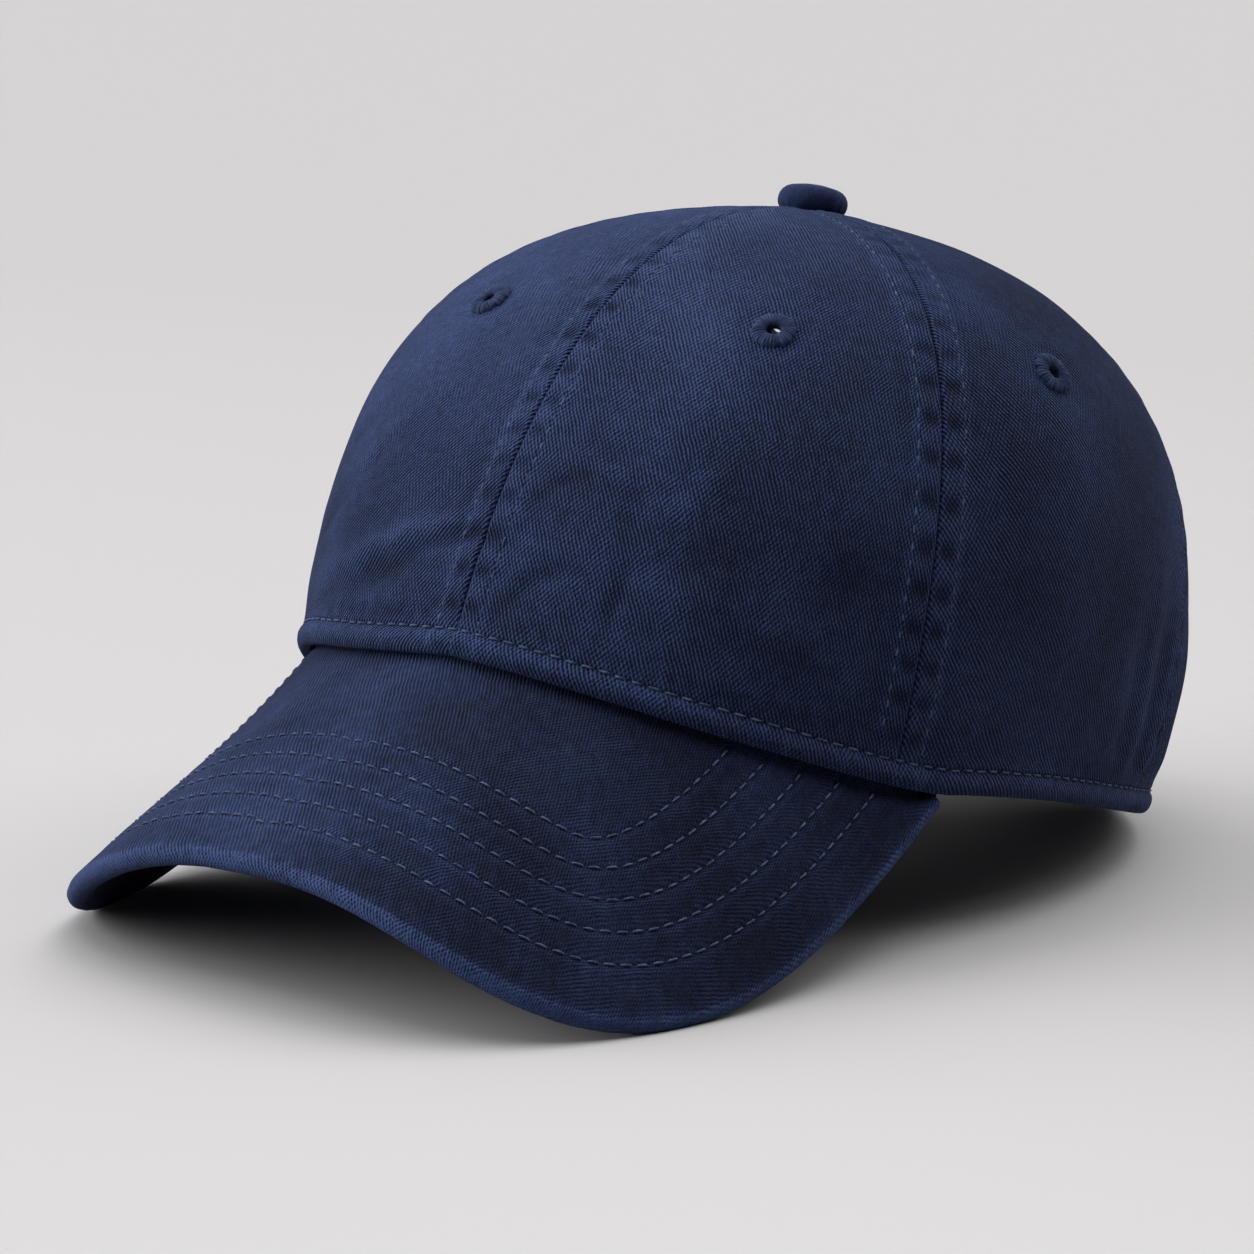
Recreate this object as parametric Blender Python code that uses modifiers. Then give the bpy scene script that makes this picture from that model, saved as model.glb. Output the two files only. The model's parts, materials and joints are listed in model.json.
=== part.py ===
"""Six-panel cloth cap: curved visor, covered button, stitched eyelets, arched back with a buckled strap.

All sizes below are millimetres in the cap's own frame: X to the wearer's left, -Y to the visor, Z up the
crown, hem plane at Z 0. The whole cap is then pitched so that it rests on the visor and the rear hem.
"""
import bpy
import bmesh
import numpy as np
from math import asin, cos, exp, hypot, pi, radians, sin, sqrt, tan
from mathutils import Vector

MM = 0.001

# Clearances
SEAM_GAP = 0.3
CLEAR = 0.3
FACET_CLEAR = 0.5

# Crown: hem reach to front, back and side, height at the button, and its Bezier meridians
HEM_FRONT = 98.2
HEM_BACK = 108.4
HEM_SIDE = 83.8
CROWN_HEIGHT = 118.7
TOP_SHIFT = 0.4
TOP_SLOPE = tan(radians(4.8))
FRONT_MERIDIAN = (-0.061, 57.0, 0.706)
SIDE_MERIDIAN = (0.277, 101.3, 0.644)
BACK_MERIDIAN = (0.105, 42.6, 0.415)
PANEL_THICK = 1.0
TOP_HOLE = 3.0
FRONT_SEAM = radians(61.7)
REAR_SEAM = radians(111.8)
HEM_ROLL = 5.6
ROLL_BULGE = 1.0

# Visor: reach past the hem, half width, bend and thickness
VISOR_REACH = 52.5
VISOR_HALF = 81.5
VISOR_POWER = 3.1
VISOR_WAIST = -0.043
VISOR_DROP = 61.9
VISOR_CONE = 7.84
VISOR_BEND = 2.487
VISOR_PITCH = tan(radians(39.26))
VISOR_FRONT_Z = -30.7
VISOR_END = radians(69.8)
HEM_LEVEL = radians(123.2)
HEM_SAG = 2.91
HEM_SWAY = 1.26
HEM_LIFT = 4.1
HEM_FLARE = 0.039
HEM_EASE_AT = radians(-42.0)
HEM_EASE_SPREAD = radians(20.0)
VISOR_CLOTH = 1.0
VISOR_BOARD = 2.0
VISOR_TUCK = 1.9
EDGE_RETURN = 3.0
VISOR_SPAN = 0.86

# Eyelets: angle round the crown and place up the meridian
EYELETS = {"front_left": (radians(36.6), 0.510), "front_right": (radians(-32.0), 0.520),
           "side_left": (radians(80.7), 0.430), "side_right": (radians(-80.7), 0.430),
           "back_left": (radians(134.6), 0.610), "back_right": (radians(-134.6), 0.610)}
EYELET_BORE = 1.5
EYELET_BARREL = 2.2
EYELET_FLANGE = 4.75
EYELET_THREAD = 0.9

# Button
BUTTON_RADIUS = 7.6
BUTTON_HEIGHT = 6.6
BUTTON_CLOTH = 0.8
POST_RADIUS = 2.4
WASHER_RADIUS = 6.0

# Inner trim
TAPE_WIDTH = 14.0
TAPE_THICK = 0.6
TAPE_FOOT = 9.0
BAND_THICK = 1.0
BAND_LOW = 1.5
BAND_HIGH = 33.0
BAND_END = radians(153.0)
BAND_POCKET = 9.6

# Arch at the back
ARCH_HALF = 35.0
ARCH_HEIGHT = 46.0
BINDING_LEG = 5.0
BINDING_THICK = 0.5

# Strap and buckle, on arcs about one upright axis
STRAP_INSET = 4.2
STRAP_RADIUS = 64.6
STRAP_THICK = 1.2
STRAP_HALF = 10.0
STRAP_MID = 16.6
STRAP_FIXED_END = radians(46.0)
STRAP_TAIL_END = radians(-43.0)
TAIL_ROUND = radians(3.0)
TAB_THICK = 0.9
TAB_HALF = 8.0
TAB_END = radians(-41.0)
BUCKLE_ANGLE = radians(-10.0)
BUCKLE_SPAN = radians(9.0)
METAL = 0.8
RAIL_IN = STRAP_HALF + 0.9
RAIL_OUT = RAIL_IN + 1.2
PIN_RADIUS = 0.9
LEVER_HALF = RAIL_IN - 0.5
BARREL_RADIUS = 2.4
LEVER_THICK = 1.0
LEVER_LIFT = 1.4
BAR_RADIUS = 0.9
LOOP_RADIUS = 2.0

FLAT_DEPTH = 0.5

FRONT_EDGE = -(HEM_FRONT + VISOR_REACH)
VISOR_THICK = 2 * VISOR_CLOTH + VISOR_BOARD + 2 * CLEAR
EDGE_RADIUS = VISOR_THICK / 2
STRAP_AXIS = HEM_BACK - STRAP_INSET - STRAP_RADIUS
PIN_ARC = STRAP_RADIUS + CLEAR + BARREL_RADIUS
PIN_ANGLE = BUCKLE_ANGLE + BUCKLE_SPAN * 7 / 9
BAR_ARC = STRAP_RADIUS + CLEAR + LOOP_RADIUS
BAR_ANGLE = BUCKLE_ANGLE - BUCKLE_SPAN - 1.4 / STRAP_RADIUS
RAIL_TOP = PIN_ARC + PIN_RADIUS + 1.0


def visor_height(x, y):
    """Height of the visor's top face: a bend across X that grows toward the crown, pitched forward."""
    back = y - FRONT_EDGE
    drop = VISOR_DROP + VISOR_CONE * back / 100
    return VISOR_FRONT_Z - drop * abs(x / VISOR_HALF) ** VISOR_BEND + VISOR_PITCH * back


def hem_plan(phi):
    """Plan point of the hem at an angle from the front."""
    reach = HEM_FRONT if cos(phi) >= 0 else HEM_BACK
    return HEM_SIDE * sin(phi), -reach * cos(phi)


def hem_ease(phi):
    """Share of the lift and flare by which the hem is eased out on the wearer's right."""
    return exp(-((phi - HEM_EASE_AT) / HEM_EASE_SPREAD) ** 2)


def hem_height(phi):
    """Hem height: it rides on the visor, then falls smoothly to the hem plane."""
    lift = HEM_LIFT * hem_ease(phi)
    phi = abs(phi)
    if phi >= HEM_LEVEL:
        return lift
    if phi <= VISOR_END:
        share = phi / VISOR_END
        sag = HEM_SAG * sin(pi * share) ** 2 + HEM_SWAY * sin(2 * pi * share)
        return lift + visor_height(*hem_plan(phi)) - sag
    step = 1e-4
    high = visor_height(*hem_plan(VISOR_END))
    slope = (high - visor_height(*hem_plan(VISOR_END - step))) / step
    span = HEM_LEVEL - VISOR_END
    u = (phi - VISOR_END) / span
    return lift + high * (2 * u ** 3 - 3 * u ** 2 + 1) + slope * span * (u ** 3 - 2 * u ** 2 + u)


def meridian(phi):
    """Bulge, shoulder height and crown width of the meridian at an angle, mixed from front, side and back."""
    c = cos(phi)
    parts = (max(c, 0) ** 2, sin(phi) ** 2, max(-c, 0) ** 2)
    triples = (FRONT_MERIDIAN, SIDE_MERIDIAN, BACK_MERIDIAN)
    return [sum(w * triple[k] for w, triple in zip(parts, triples)) for k in range(3)]


def crown(phi, t):
    """Point on the crown's outer face, t 0 at the hem and 1 at the top."""
    bulge, shoulder, width = meridian(phi)
    x, y = hem_plan(phi)
    b0, b1, b2, b3 = (1 - t) ** 3, 3 * t * (1 - t) ** 2, 3 * t * t * (1 - t), t ** 3
    s = b0 * (1 + HEM_FLARE * hem_ease(phi)) + b1 * (1 + bulge) + b2 * width
    roof = CROWN_HEIGHT - TOP_SLOPE * width * hypot(x, y)
    z = b0 * hem_height(phi) + b1 * shoulder + b2 * roof + b3 * CROWN_HEIGHT
    return Vector((x * s, y * s + TOP_SHIFT * (1 - s), z))


def crown_normal(phi, t):
    """Outward unit normal of the crown."""
    step = 1e-3
    across = crown(phi + step, t) - crown(phi - step, t)
    up = crown(phi, min(t + step, 1)) - crown(phi, max(t - step, 0))
    return across.cross(up).normalized()


def inside(phi, t, depth):
    """Point under the crown's outer face."""
    return crown(phi, t) - crown_normal(phi, t) * depth


def place_at_height(phi, height):
    """Place up the meridian that lies a height over the hem."""
    low, high = 0.0, 1.0
    base = hem_height(phi)
    for _ in range(30):
        mid = (low + high) / 2
        if crown(phi, mid).z - base < height:
            low = mid
        else:
            high = mid
    return low


def place_at_radius(phi, radius):
    """Place up the meridian a radius away from the button's axis."""
    x, y = hem_plan(phi)
    return 1 - radius / (3 * meridian(phi)[2] * hypot(x, y))


def rear_place(x, z):
    """Angle and place of the crown's rear face at a given X and height."""
    low, high = pi / 2, pi
    for _ in range(34):
        phi = (low + high) / 2
        t = place_at_height(phi, z - hem_height(phi))
        if crown(phi, t).x > abs(x):
            low = phi
        else:
            high = phi
    return (phi if x >= 0 else -phi), t


def visor_outline(u):
    """Plan point of the visor's outermost edge, u -1 to 1 from end to end."""
    end_x, end_y = hem_plan(VISOR_END)
    power = 2 / VISOR_POWER
    angle = pi / 2 * (1 - (1 - abs(u)) ** (VISOR_POWER / 2)) * (1 if u >= 0 else -1)
    x = VISOR_HALF * abs(sin(angle)) ** power * (1 if u >= 0 else -1)
    y = end_y + (FRONT_EDGE - end_y) * max(cos(angle), 0) ** power
    back = (y - FRONT_EDGE) / (end_y - FRONT_EDGE)
    near = min(max((back - 0.35 - VISOR_WAIST) / (0.65 - VISOR_WAIST), 0), 1)
    return x * (1 - (1 - end_x / VISOR_HALF) * near ** 2), y


def visor_edge(u, inset):
    """Plan point at an inset, measured down the slope, from the visor's edge, and the outward plan direction there."""
    step = 0.002
    x0, y0 = visor_outline(max(u - step, -1))
    x1, y1 = visor_outline(min(u + step, 1))
    along = Vector((x1 - x0, y1 - y0)).normalized()
    out = Vector((along.y, -along.x))
    edge = Vector(visor_outline(u))
    reach = 0.05
    slope = (visor_height(*(edge + out * reach)) - visor_height(*(edge - out * reach))) / (2 * reach)
    return edge - out * (inset / sqrt(1 + slope ** 2)), out


def visor_point(u, v, depth, margin=0.0):
    """Point of the visor at a depth under its top face, v 0 under the hem to 1 at a margin inside the edge."""
    phi = u * VISOR_END
    inner = Vector(hem_plan(phi)) * (1 + HEM_FLARE * hem_ease(phi))
    inner *= 1 - VISOR_TUCK / inner.length
    outer, out = visor_edge(u, EDGE_RADIUS)
    place = v * (1 - margin / (outer - inner).dot(out))
    x, y = inner.lerp(outer, place)
    sink = visor_height(*inner) - (hem_height(phi) - FACET_CLEAR)
    step = 0.05
    dx = (visor_height(x + step, y) - visor_height(x - step, y)) / (2 * step)
    dy = (visor_height(x, y + step) - visor_height(x, y - step)) / (2 * step)
    normal = Vector((-dx, -dy, 1)).normalized()
    return Vector((x, y, visor_height(x, y) - sink * (1 - place) ** 2)) - normal * depth, normal


def arc_point(angle, radius, z):
    """Point about the strap's axis, angle 0 at the rear and positive to the wearer's left."""
    return Vector((radius * sin(angle), STRAP_AXIS + radius * cos(angle), z))


def new_collection(name):
    group = bpy.data.collections.new(name)
    bpy.context.scene.collection.children.link(group)
    return group


def new_material(name, colour, roughness, metallic=0.0):
    material = bpy.data.materials.new(name)
    material.use_nodes = True
    shader = material.node_tree.nodes["Principled BSDF"]
    shader.inputs["Base Color"].default_value = (*colour, 1.0)
    shader.inputs["Roughness"].default_value = roughness
    shader.inputs["Metallic"].default_value = metallic
    return material


def add_object(name, bm, finish=None, origin=Vector(), cutter=False):
    """Turn a mesh in millimetres into an object of the cap, with its origin at a chosen point."""
    bmesh.ops.translate(bm, verts=bm.verts, vec=-Vector(origin))
    bmesh.ops.scale(bm, verts=bm.verts, vec=(MM, MM, MM))
    mesh = bpy.data.meshes.new(name)
    bm.to_mesh(mesh)
    bm.free()
    obj = bpy.data.objects.new(name, mesh)
    obj.location = Vector(origin) * MM
    obj.parent = REST
    if cutter:
        obj.hide_render = True
        obj.display_type = "WIRE"
        CUTTERS.objects.link(obj)
    else:
        mesh.materials.append(new_material(name, *finish))
        PARTS.objects.link(obj)
    return obj


def boolean(obj, other, operation="DIFFERENCE"):
    modifier = obj.modifiers.new(operation.lower(), "BOOLEAN")
    modifier.operation = operation
    modifier.solver = "EXACT"
    modifier.object = other


def sheet(name, columns, rows, point, thick, finish, origin=Vector()):
    """Cloth: a grid moved onto point(i, j), thickened away from its outer face."""
    bm = bmesh.new()
    bmesh.ops.create_grid(bm, x_segments=columns, y_segments=rows, size=1)
    for vert in bm.verts:
        i = round((vert.co.x + 1) / 2 * columns)
        j = round((vert.co.y + 1) / 2 * rows)
        vert.co = point(i, j)
    obj = add_object(name, bm, finish, origin)
    solid = obj.modifiers.new("thickness", "SOLIDIFY")
    solid.thickness = thick * MM
    solid.offset = -1
    return obj


def loft(name, sections, finish=None, origin=Vector(), cutter=False):
    """Solid through a row of closed sections."""
    bm = bmesh.new()
    rings = [[bm.verts.new(p) for p in section] for section in sections]
    count = len(rings[0])
    for near, far in zip(rings, rings[1:]):
        for k in range(count):
            bm.faces.new((near[k], near[(k + 1) % count], far[(k + 1) % count], far[k]))
    bm.faces.new(rings[0])
    bm.faces.new(rings[-1])
    bmesh.ops.recalc_face_normals(bm, faces=bm.faces)
    return add_object(name, bm, finish, origin, cutter)


def turned(name, profile, finish, closed, origin, steps=20):
    """Turned piece from a profile of (radius, height) that runs down its outer side."""
    bm = bmesh.new()
    verts = [bm.verts.new((r, 0, z)) for r, z in profile]
    pairs = list(zip(verts, verts[1:]))
    if closed:
        pairs.append((verts[-1], verts[0]))
    for pair in pairs:
        bm.edges.new(pair)
    bmesh.ops.translate(bm, verts=bm.verts, vec=origin)
    obj = add_object(name, bm, finish, origin)
    screw = obj.modifiers.new("turn", "SCREW")
    screw.axis = "Z"
    screw.angle = 2 * pi
    screw.steps = steps
    screw.render_steps = steps
    screw.use_merge_vertices = True
    screw.merge_threshold = 0.00001
    return obj


def rod(name, radius, half, centre, finish=None, cutter=False, segments=20):
    """Round bar along the strap's axis direction."""
    bm = bmesh.new()
    bmesh.ops.create_cone(bm, cap_ends=True, segments=segments, radius1=radius, radius2=radius, depth=2 * half)
    bmesh.ops.translate(bm, verts=bm.verts, vec=centre)
    return add_object(name, bm, finish, centre, cutter)


def panel(name, low, high, columns):
    """One crown panel between two seams, with the rolled hem along its foot."""
    roll = [(0.0, -0.6), (0.18, 0.6), (0.5, 1.0), (0.82, 0.6), (1.0, -0.1)]
    upper = 18

    def point(i, j):
        share = i / columns
        middle = low + (high - low) * share
        if j < len(roll):
            t = place_at_height(middle, HEM_ROLL * roll[j][0])
            lift = ROLL_BULGE * roll[j][1]
        else:
            foot = place_at_height(middle, HEM_ROLL)
            t = foot + (place_at_radius(middle, TOP_HOLE) - foot) * (j - len(roll) + 1) / upper
            lift = 0.0
        side = (crown(middle + 1e-3, t) - crown(middle - 1e-3, t)).length / 2e-3
        phi = middle + SEAM_GAP / 2 / side * (1 - 2 * share)
        return inside(phi, t, -lift)

    return sheet(name, columns, len(roll) - 1 + upper, point, PANEL_THICK, NAVY)


def eyelet(place, host):
    """Stitched eyelet set in a hole of its panel."""
    phi, t = EYELETS[place]
    normal = crown_normal(phi, t)
    half = PANEL_THICK / 2
    near, far = half + FACET_CLEAR, half + FACET_CLEAR + EYELET_THREAD
    crest = EYELET_FLANGE * 0.6
    profile = [(EYELET_BORE, far - 0.5), (EYELET_BORE + 0.7, far), (crest, far), (EYELET_FLANGE - 0.3, far - 0.3),
               (EYELET_FLANGE, near), (EYELET_BARREL, near), (EYELET_BARREL, -near), (EYELET_FLANGE, -near),
               (EYELET_FLANGE - 0.3, 0.3 - far), (crest, -far), (EYELET_BORE + 0.7, -far), (EYELET_BORE, 0.5 - far)]
    centre = inside(phi, t, half)
    ring = turned(f"eyelet_{place}", profile, THREAD, True, centre, steps=14)
    hole = rod(f"hole_{place}", EYELET_BARREL + CLEAR, 6.0, centre, cutter=True)
    for obj in (ring, hole):
        obj.rotation_euler = normal.to_track_quat("Z", "Y").to_euler()
    boolean(host, hole)


def seam_tape(name, phi, foot):
    """Tape under one seam, from a height over the hem to the button's washer."""
    columns, rows = 2, 14
    depth = PANEL_THICK + FACET_CLEAR

    def point(i, j):
        low = place_at_height(phi, foot)
        high = place_at_radius(phi, WASHER_RADIUS + 2.0)
        t = low + (high - low) * j / rows
        side = (crown(phi + 1e-3, t) - crown(phi - 1e-3, t)).length / 2e-3
        width = min(TAPE_WIDTH, 0.7 * side)
        return inside(phi + (i / columns - 0.5) * width / side, t, depth)

    sheet(name, columns, rows, point, TAPE_THICK, TAPE)


def sweatband():
    """Band inside the hem; toward the back it stands off the panels and leaves the pocket for the strap ends."""
    columns, rows = 48, 3
    snug = PANEL_THICK + FACET_CLEAR + TAPE_THICK + FACET_CLEAR
    start, full = REAR_SEAM + radians(6), REAR_SEAM + radians(24)

    def point(i, j):
        phi = BAND_END * (2 * i / columns - 1)
        u = min(max((abs(phi) - start) / (full - start), 0), 1)
        depth = snug + (BAND_POCKET - snug) * u * u * (3 - 2 * u)
        t = place_at_height(phi, BAND_LOW + (BAND_HIGH - BAND_LOW) * j / rows)
        return inside(phi, t, depth)

    sheet("sweatband", columns, rows, point, BAND_THICK, BAND)


def visor():
    """Board between two cloths; the top cloth is turned round the edge onto the underside."""
    columns, across, turns = 36, 5, 4
    limit = 0.95

    def top(i, j):
        u = limit * (2 * i / columns - 1)
        if j <= across:
            return visor_point(u, j / across, 0)[0]
        edge, normal = visor_point(u, 1, 0)
        plan_out = visor_edge(u, 0)[1]
        out = Vector((plan_out.x, plan_out.y, 0))
        out = (out - normal * out.dot(normal)).normalized()
        turn = min((j - across) / turns, 1) * pi
        back = EDGE_RETURN if j > across + turns else 0
        return edge + normal * (EDGE_RADIUS * (cos(turn) - 1)) + out * (EDGE_RADIUS * sin(turn) - back)

    rows = across + turns + 1
    sheet("visor_top_cloth", columns, rows, lambda i, j: top(columns - i, j), VISOR_CLOTH, NAVY)

    def layer(name, depth, thick, margin, finish):
        def point(i, j):
            u = VISOR_SPAN * (2 * i / columns - 1)
            return visor_point(u, j / across, depth, margin)[0]

        sheet(name, columns, across, lambda i, j: point(columns - i, j), thick, finish)

    layer("visor_board", VISOR_CLOTH + CLEAR, VISOR_BOARD, 0.0, BOARD)
    layer("visor_under_cloth", VISOR_CLOTH + VISOR_BOARD + 2 * CLEAR, VISOR_CLOTH, EDGE_RETURN + 0.4, UNDER)


def button():
    """Cloth-covered button riveted through the top of the crown."""
    base = Vector((0, TOP_SHIFT, CROWN_HEIGHT))
    r, h, c = BUTTON_RADIUS, BUTTON_HEIGHT, BUTTON_CLOTH
    dome = [(0.0, 1.0), (0.46, 0.97), (0.79, 0.85), (0.96, 0.65), (1.0, 0.42), (0.96, 0.18), (0.87, 0.06)]
    outer = [(r * a, h * b) for a, b in dome]
    lip = r * 0.53
    inner = [((r - c) * a, max((h - c) * b, 0.4 + c)) for a, b in reversed(dome)]
    turned("button_cover", outer + [(lip, 0.4), (lip, 0.4 + c)] + inner, NAVY, False, base)
    gap = c + CLEAR
    head = [((r - gap) * a, (h - gap) * b) for a, b in dome[:5]]
    floor_z = -TOP_SLOPE * TOP_HOLE - PANEL_THICK - FACET_CLEAR
    washer_top = [(POST_RADIUS + CLEAR, floor_z), (WASHER_RADIUS, floor_z - 1.5 * TOP_SLOPE * WASHER_RADIUS)]
    washer_low = washer_top[1][1] - METAL
    rivet = washer_low - CLEAR
    core = head + [((r - gap) * 0.92, 0.4 + gap), (POST_RADIUS, 0.4 + gap), (POST_RADIUS, rivet),
                   (POST_RADIUS + 1.4, rivet), (POST_RADIUS + 1.4, rivet - METAL), (0.0, rivet - METAL)]
    turned("button_core", core, STEEL, False, base)
    washer = [washer_top[0], washer_top[1], (WASHER_RADIUS, washer_low), (POST_RADIUS + CLEAR, washer_low)]
    turned("button_washer", washer, STEEL, True, base)


def arch_binding():
    """Folded binding round the edge of the arch, open toward the panels."""
    c, w = CLEAR, BINDING_THICK
    deep = PANEL_THICK + FACET_CLEAR
    stations = 32
    foot = HEM_ROLL + 1.2
    sections = []
    for k in range(stations + 1):
        ring = {}
        for b in (BINDING_LEG, -c, -c - w):
            half, height = ARCH_HALF + b, ARCH_HEIGHT + b
            start = asin(foot / height)
            angle = start + (pi - 2 * start) * k / stations
            phi, t = rear_place(half * cos(angle), height * sin(angle))
            ring[b] = (crown(phi, t), crown_normal(phi, t))
        plan = [(BINDING_LEG, c), (BINDING_LEG, c + w), (-c - w, c + w), (-c - w, -deep - w),
                (BINDING_LEG, -deep - w), (BINDING_LEG, -deep), (-c, -deep), (-c, c)]
        sections.append([ring[b][0] + ring[b][1] * lift for b, lift in plan])
    loft("arch_binding", sections, NAVY)


def arch_cutter():
    """Half-round cutter for the arch."""
    bm = bmesh.new()
    bmesh.ops.create_cone(bm, cap_ends=True, segments=64, radius1=1, radius2=1, depth=90)
    for vert in bm.verts:
        vert.co = Vector((vert.co.x * ARCH_HALF, HEM_BACK - 10 + vert.co.z, vert.co.y * ARCH_HEIGHT))
    bmesh.ops.recalc_face_normals(bm, faces=bm.faces)
    return add_object("arch_cut", bm, cutter=True)


def strap():
    """Strap on its arc, tail rounded."""
    columns, rows = 30, 4

    def point(i, j):
        z = STRAP_HALF * (1 - 2 * j / rows)
        tail = STRAP_TAIL_END + TAIL_ROUND * (z / STRAP_HALF) ** 2
        return arc_point(tail + (STRAP_FIXED_END - tail) * i / columns, STRAP_RADIUS, STRAP_MID + z)

    sheet("strap", columns, rows, point, STRAP_THICK, NAVY, Vector((0, STRAP_AXIS, STRAP_MID)))


def strap_tab():
    """Short tab from the panel's pocket to a loop round the buckle's bar."""
    columns = 10
    outer = STRAP_RADIUS + FACET_CLEAR + TAB_THICK
    start = BAR_ANGLE - (LOOP_RADIUS - 0.3) / STRAP_RADIUS
    sections = []
    for k in range(columns + 1):
        angle = start + (TAB_END - start) * k / columns
        ends = [(outer - TAB_THICK, -1), (outer, -1), (outer, 1), (outer - TAB_THICK, 1)]
        sections.append([arc_point(angle, r, STRAP_MID + side * TAB_HALF) for r, side in ends])
    tab = loft("strap_tab", sections, NAVY)
    centre = arc_point(BAR_ANGLE, BAR_ARC, STRAP_MID)
    boolean(tab, rod("tab_loop", LOOP_RADIUS, TAB_HALF, centre, cutter=True), "UNION")
    boolean(tab, rod("tab_bore", BAR_RADIUS + CLEAR, TAB_HALF + 2, centre, cutter=True))


def buckle():
    """Channel frame with a bar for the tab, a pin, and a lever that closes over the strap."""
    inner = STRAP_RADIUS - STRAP_THICK - FACET_CLEAR - METAL
    outline = [(inner, -RAIL_OUT), (RAIL_TOP, -RAIL_OUT), (RAIL_TOP, -RAIL_IN), (inner + METAL, -RAIL_IN),
               (inner + METAL, RAIL_IN), (RAIL_TOP, RAIL_IN), (RAIL_TOP, RAIL_OUT), (inner, RAIL_OUT)]
    stations = 10
    first = BAR_ANGLE - 1.6 / STRAP_RADIUS
    last = BUCKLE_ANGLE + BUCKLE_SPAN
    angles = [first + (last - first) * k / stations for k in range(stations + 1)]
    frame = loft("buckle_frame", [[arc_point(a, r, STRAP_MID + z) for r, z in outline] for a in angles], BRASS)
    bar = rod("frame_bar", BAR_RADIUS, RAIL_OUT - 0.2, arc_point(BAR_ANGLE, BAR_ARC, STRAP_MID), cutter=True)
    boolean(frame, bar, "UNION")
    pin = arc_point(PIN_ANGLE, PIN_ARC, STRAP_MID)
    boolean(frame, rod("pin_hole", PIN_RADIUS + CLEAR, RAIL_OUT + 2, pin, cutter=True))
    rod("buckle_pin", PIN_RADIUS, RAIL_OUT + 0.3, pin, PIN)

    low = PIN_ARC + LEVER_LIFT
    free = BUCKLE_ANGLE - BUCKLE_SPAN * 0.72
    sections = []
    for k in range(stations + 1):
        share = k / stations
        angle = PIN_ANGLE + (free - PIN_ANGLE) * share
        lift = 1.2 * max(share - 0.75, 0) / 0.25
        ends = [(low + lift, -1), (low + lift + LEVER_THICK, -1), (low + lift + LEVER_THICK, 1), (low + lift, 1)]
        sections.append([arc_point(angle, r, STRAP_MID + side * LEVER_HALF) for r, side in ends])
    lever = loft("buckle_lever", sections, BRASS, pin)
    boolean(lever, rod("lever_barrel", BARREL_RADIUS, LEVER_HALF, pin, cutter=True), "UNION")
    boolean(lever, rod("lever_bore", PIN_RADIUS + CLEAR, LEVER_HALF + 2, pin, cutter=True))


def settle():
    """Pitch the cap until visor and rear hem touch the floor together, centre it, and cut its contact flats."""
    graph = bpy.context.evaluated_depsgraph_get()
    clouds = {}
    for obj in PARTS.objects:
        if obj.type != "MESH":
            continue
        shape = obj.evaluated_get(graph)
        mesh = shape.to_mesh()
        flat = np.empty(len(mesh.vertices) * 3)
        mesh.vertices.foreach_get("co", flat)
        turn = np.array(shape.matrix_world)
        clouds[obj.name] = flat.reshape(-1, 3) @ turn[:3, :3].T + turn[:3, 3]
        shape.to_mesh_clear()
    visor_points = np.vstack([c for name, c in clouds.items() if name.startswith("visor")])
    other_points = np.vstack([c for name, c in clouds.items() if not name.startswith("visor")])

    def lowest(points, pitch):
        return (points[:, 2] * cos(pitch) - points[:, 1] * sin(pitch)).min()

    low, high = 0.0, radians(40)
    for _ in range(40):
        pitch = (low + high) / 2
        if lowest(visor_points, pitch) < lowest(other_points, pitch):
            low = pitch
        else:
            high = pitch
    every = np.vstack([visor_points, other_points])
    along = every[:, 1] * cos(pitch) + every[:, 2] * sin(pitch)
    REST.rotation_euler = (-pitch, 0, 0)
    REST.location = (0, -(along.min() + along.max()) / 2, -lowest(every, pitch) - FLAT_DEPTH * MM)

    bm = bmesh.new()
    bmesh.ops.create_cube(bm, size=1)
    bmesh.ops.scale(bm, verts=bm.verts, vec=(400, 400, 20))
    bmesh.ops.translate(bm, verts=bm.verts, vec=(0, 0, -10))
    ground = add_object("ground_cut", bm, cutter=True)
    ground.parent = None
    for name in ("visor_top_cloth", "back_panel_left", "back_panel_right"):
        boolean(bpy.data.objects[name], ground)


for old in list(bpy.data.objects):
    bpy.data.objects.remove(old, do_unlink=True)

PARTS = new_collection("cloth_cap")
CUTTERS = new_collection("cutters")
REST = bpy.data.objects.new("rest_pose", None)
PARTS.objects.link(REST)

NAVY = ((0.022, 0.029, 0.068), 0.9)
UNDER = ((0.018, 0.024, 0.055), 0.92)
BAND = ((0.020, 0.026, 0.060), 0.85)
TAPE = ((0.024, 0.031, 0.070), 0.88)
THREAD = ((0.018, 0.024, 0.058), 0.6)
BOARD = ((0.75, 0.76, 0.74), 0.5)
STEEL = ((0.55, 0.55, 0.56), 0.35, 1.0)
BRASS = ((0.42, 0.31, 0.16), 0.38, 1.0)
PIN = ((0.36, 0.27, 0.15), 0.42, 1.0)

ARCH = arch_cutter()
for hand, sign in (("left", 1), ("right", -1)):
    seams = [("front", 0.0, FRONT_SEAM, 12), ("side", FRONT_SEAM, REAR_SEAM, 10), ("back", REAR_SEAM, pi, 13)]
    for place, near, far, count in seams:
        low, high = sorted((sign * near, sign * far))
        piece = panel(f"{place}_panel_{hand}", low, high, count)
        eyelet(f"{place}_{hand}", piece)
        if place == "back":
            boolean(piece, ARCH)
    seam_tape(f"seam_tape_front_{hand}", sign * FRONT_SEAM, TAPE_FOOT)
    seam_tape(f"seam_tape_rear_{hand}", sign * REAR_SEAM, TAPE_FOOT)
seam_tape("seam_tape_front", 0.0, TAPE_FOOT)
seam_tape("seam_tape_back", pi, ARCH_HEIGHT + BINDING_LEG + 3.0)
sweatband()
visor()
button()
arch_binding()
strap()
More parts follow.
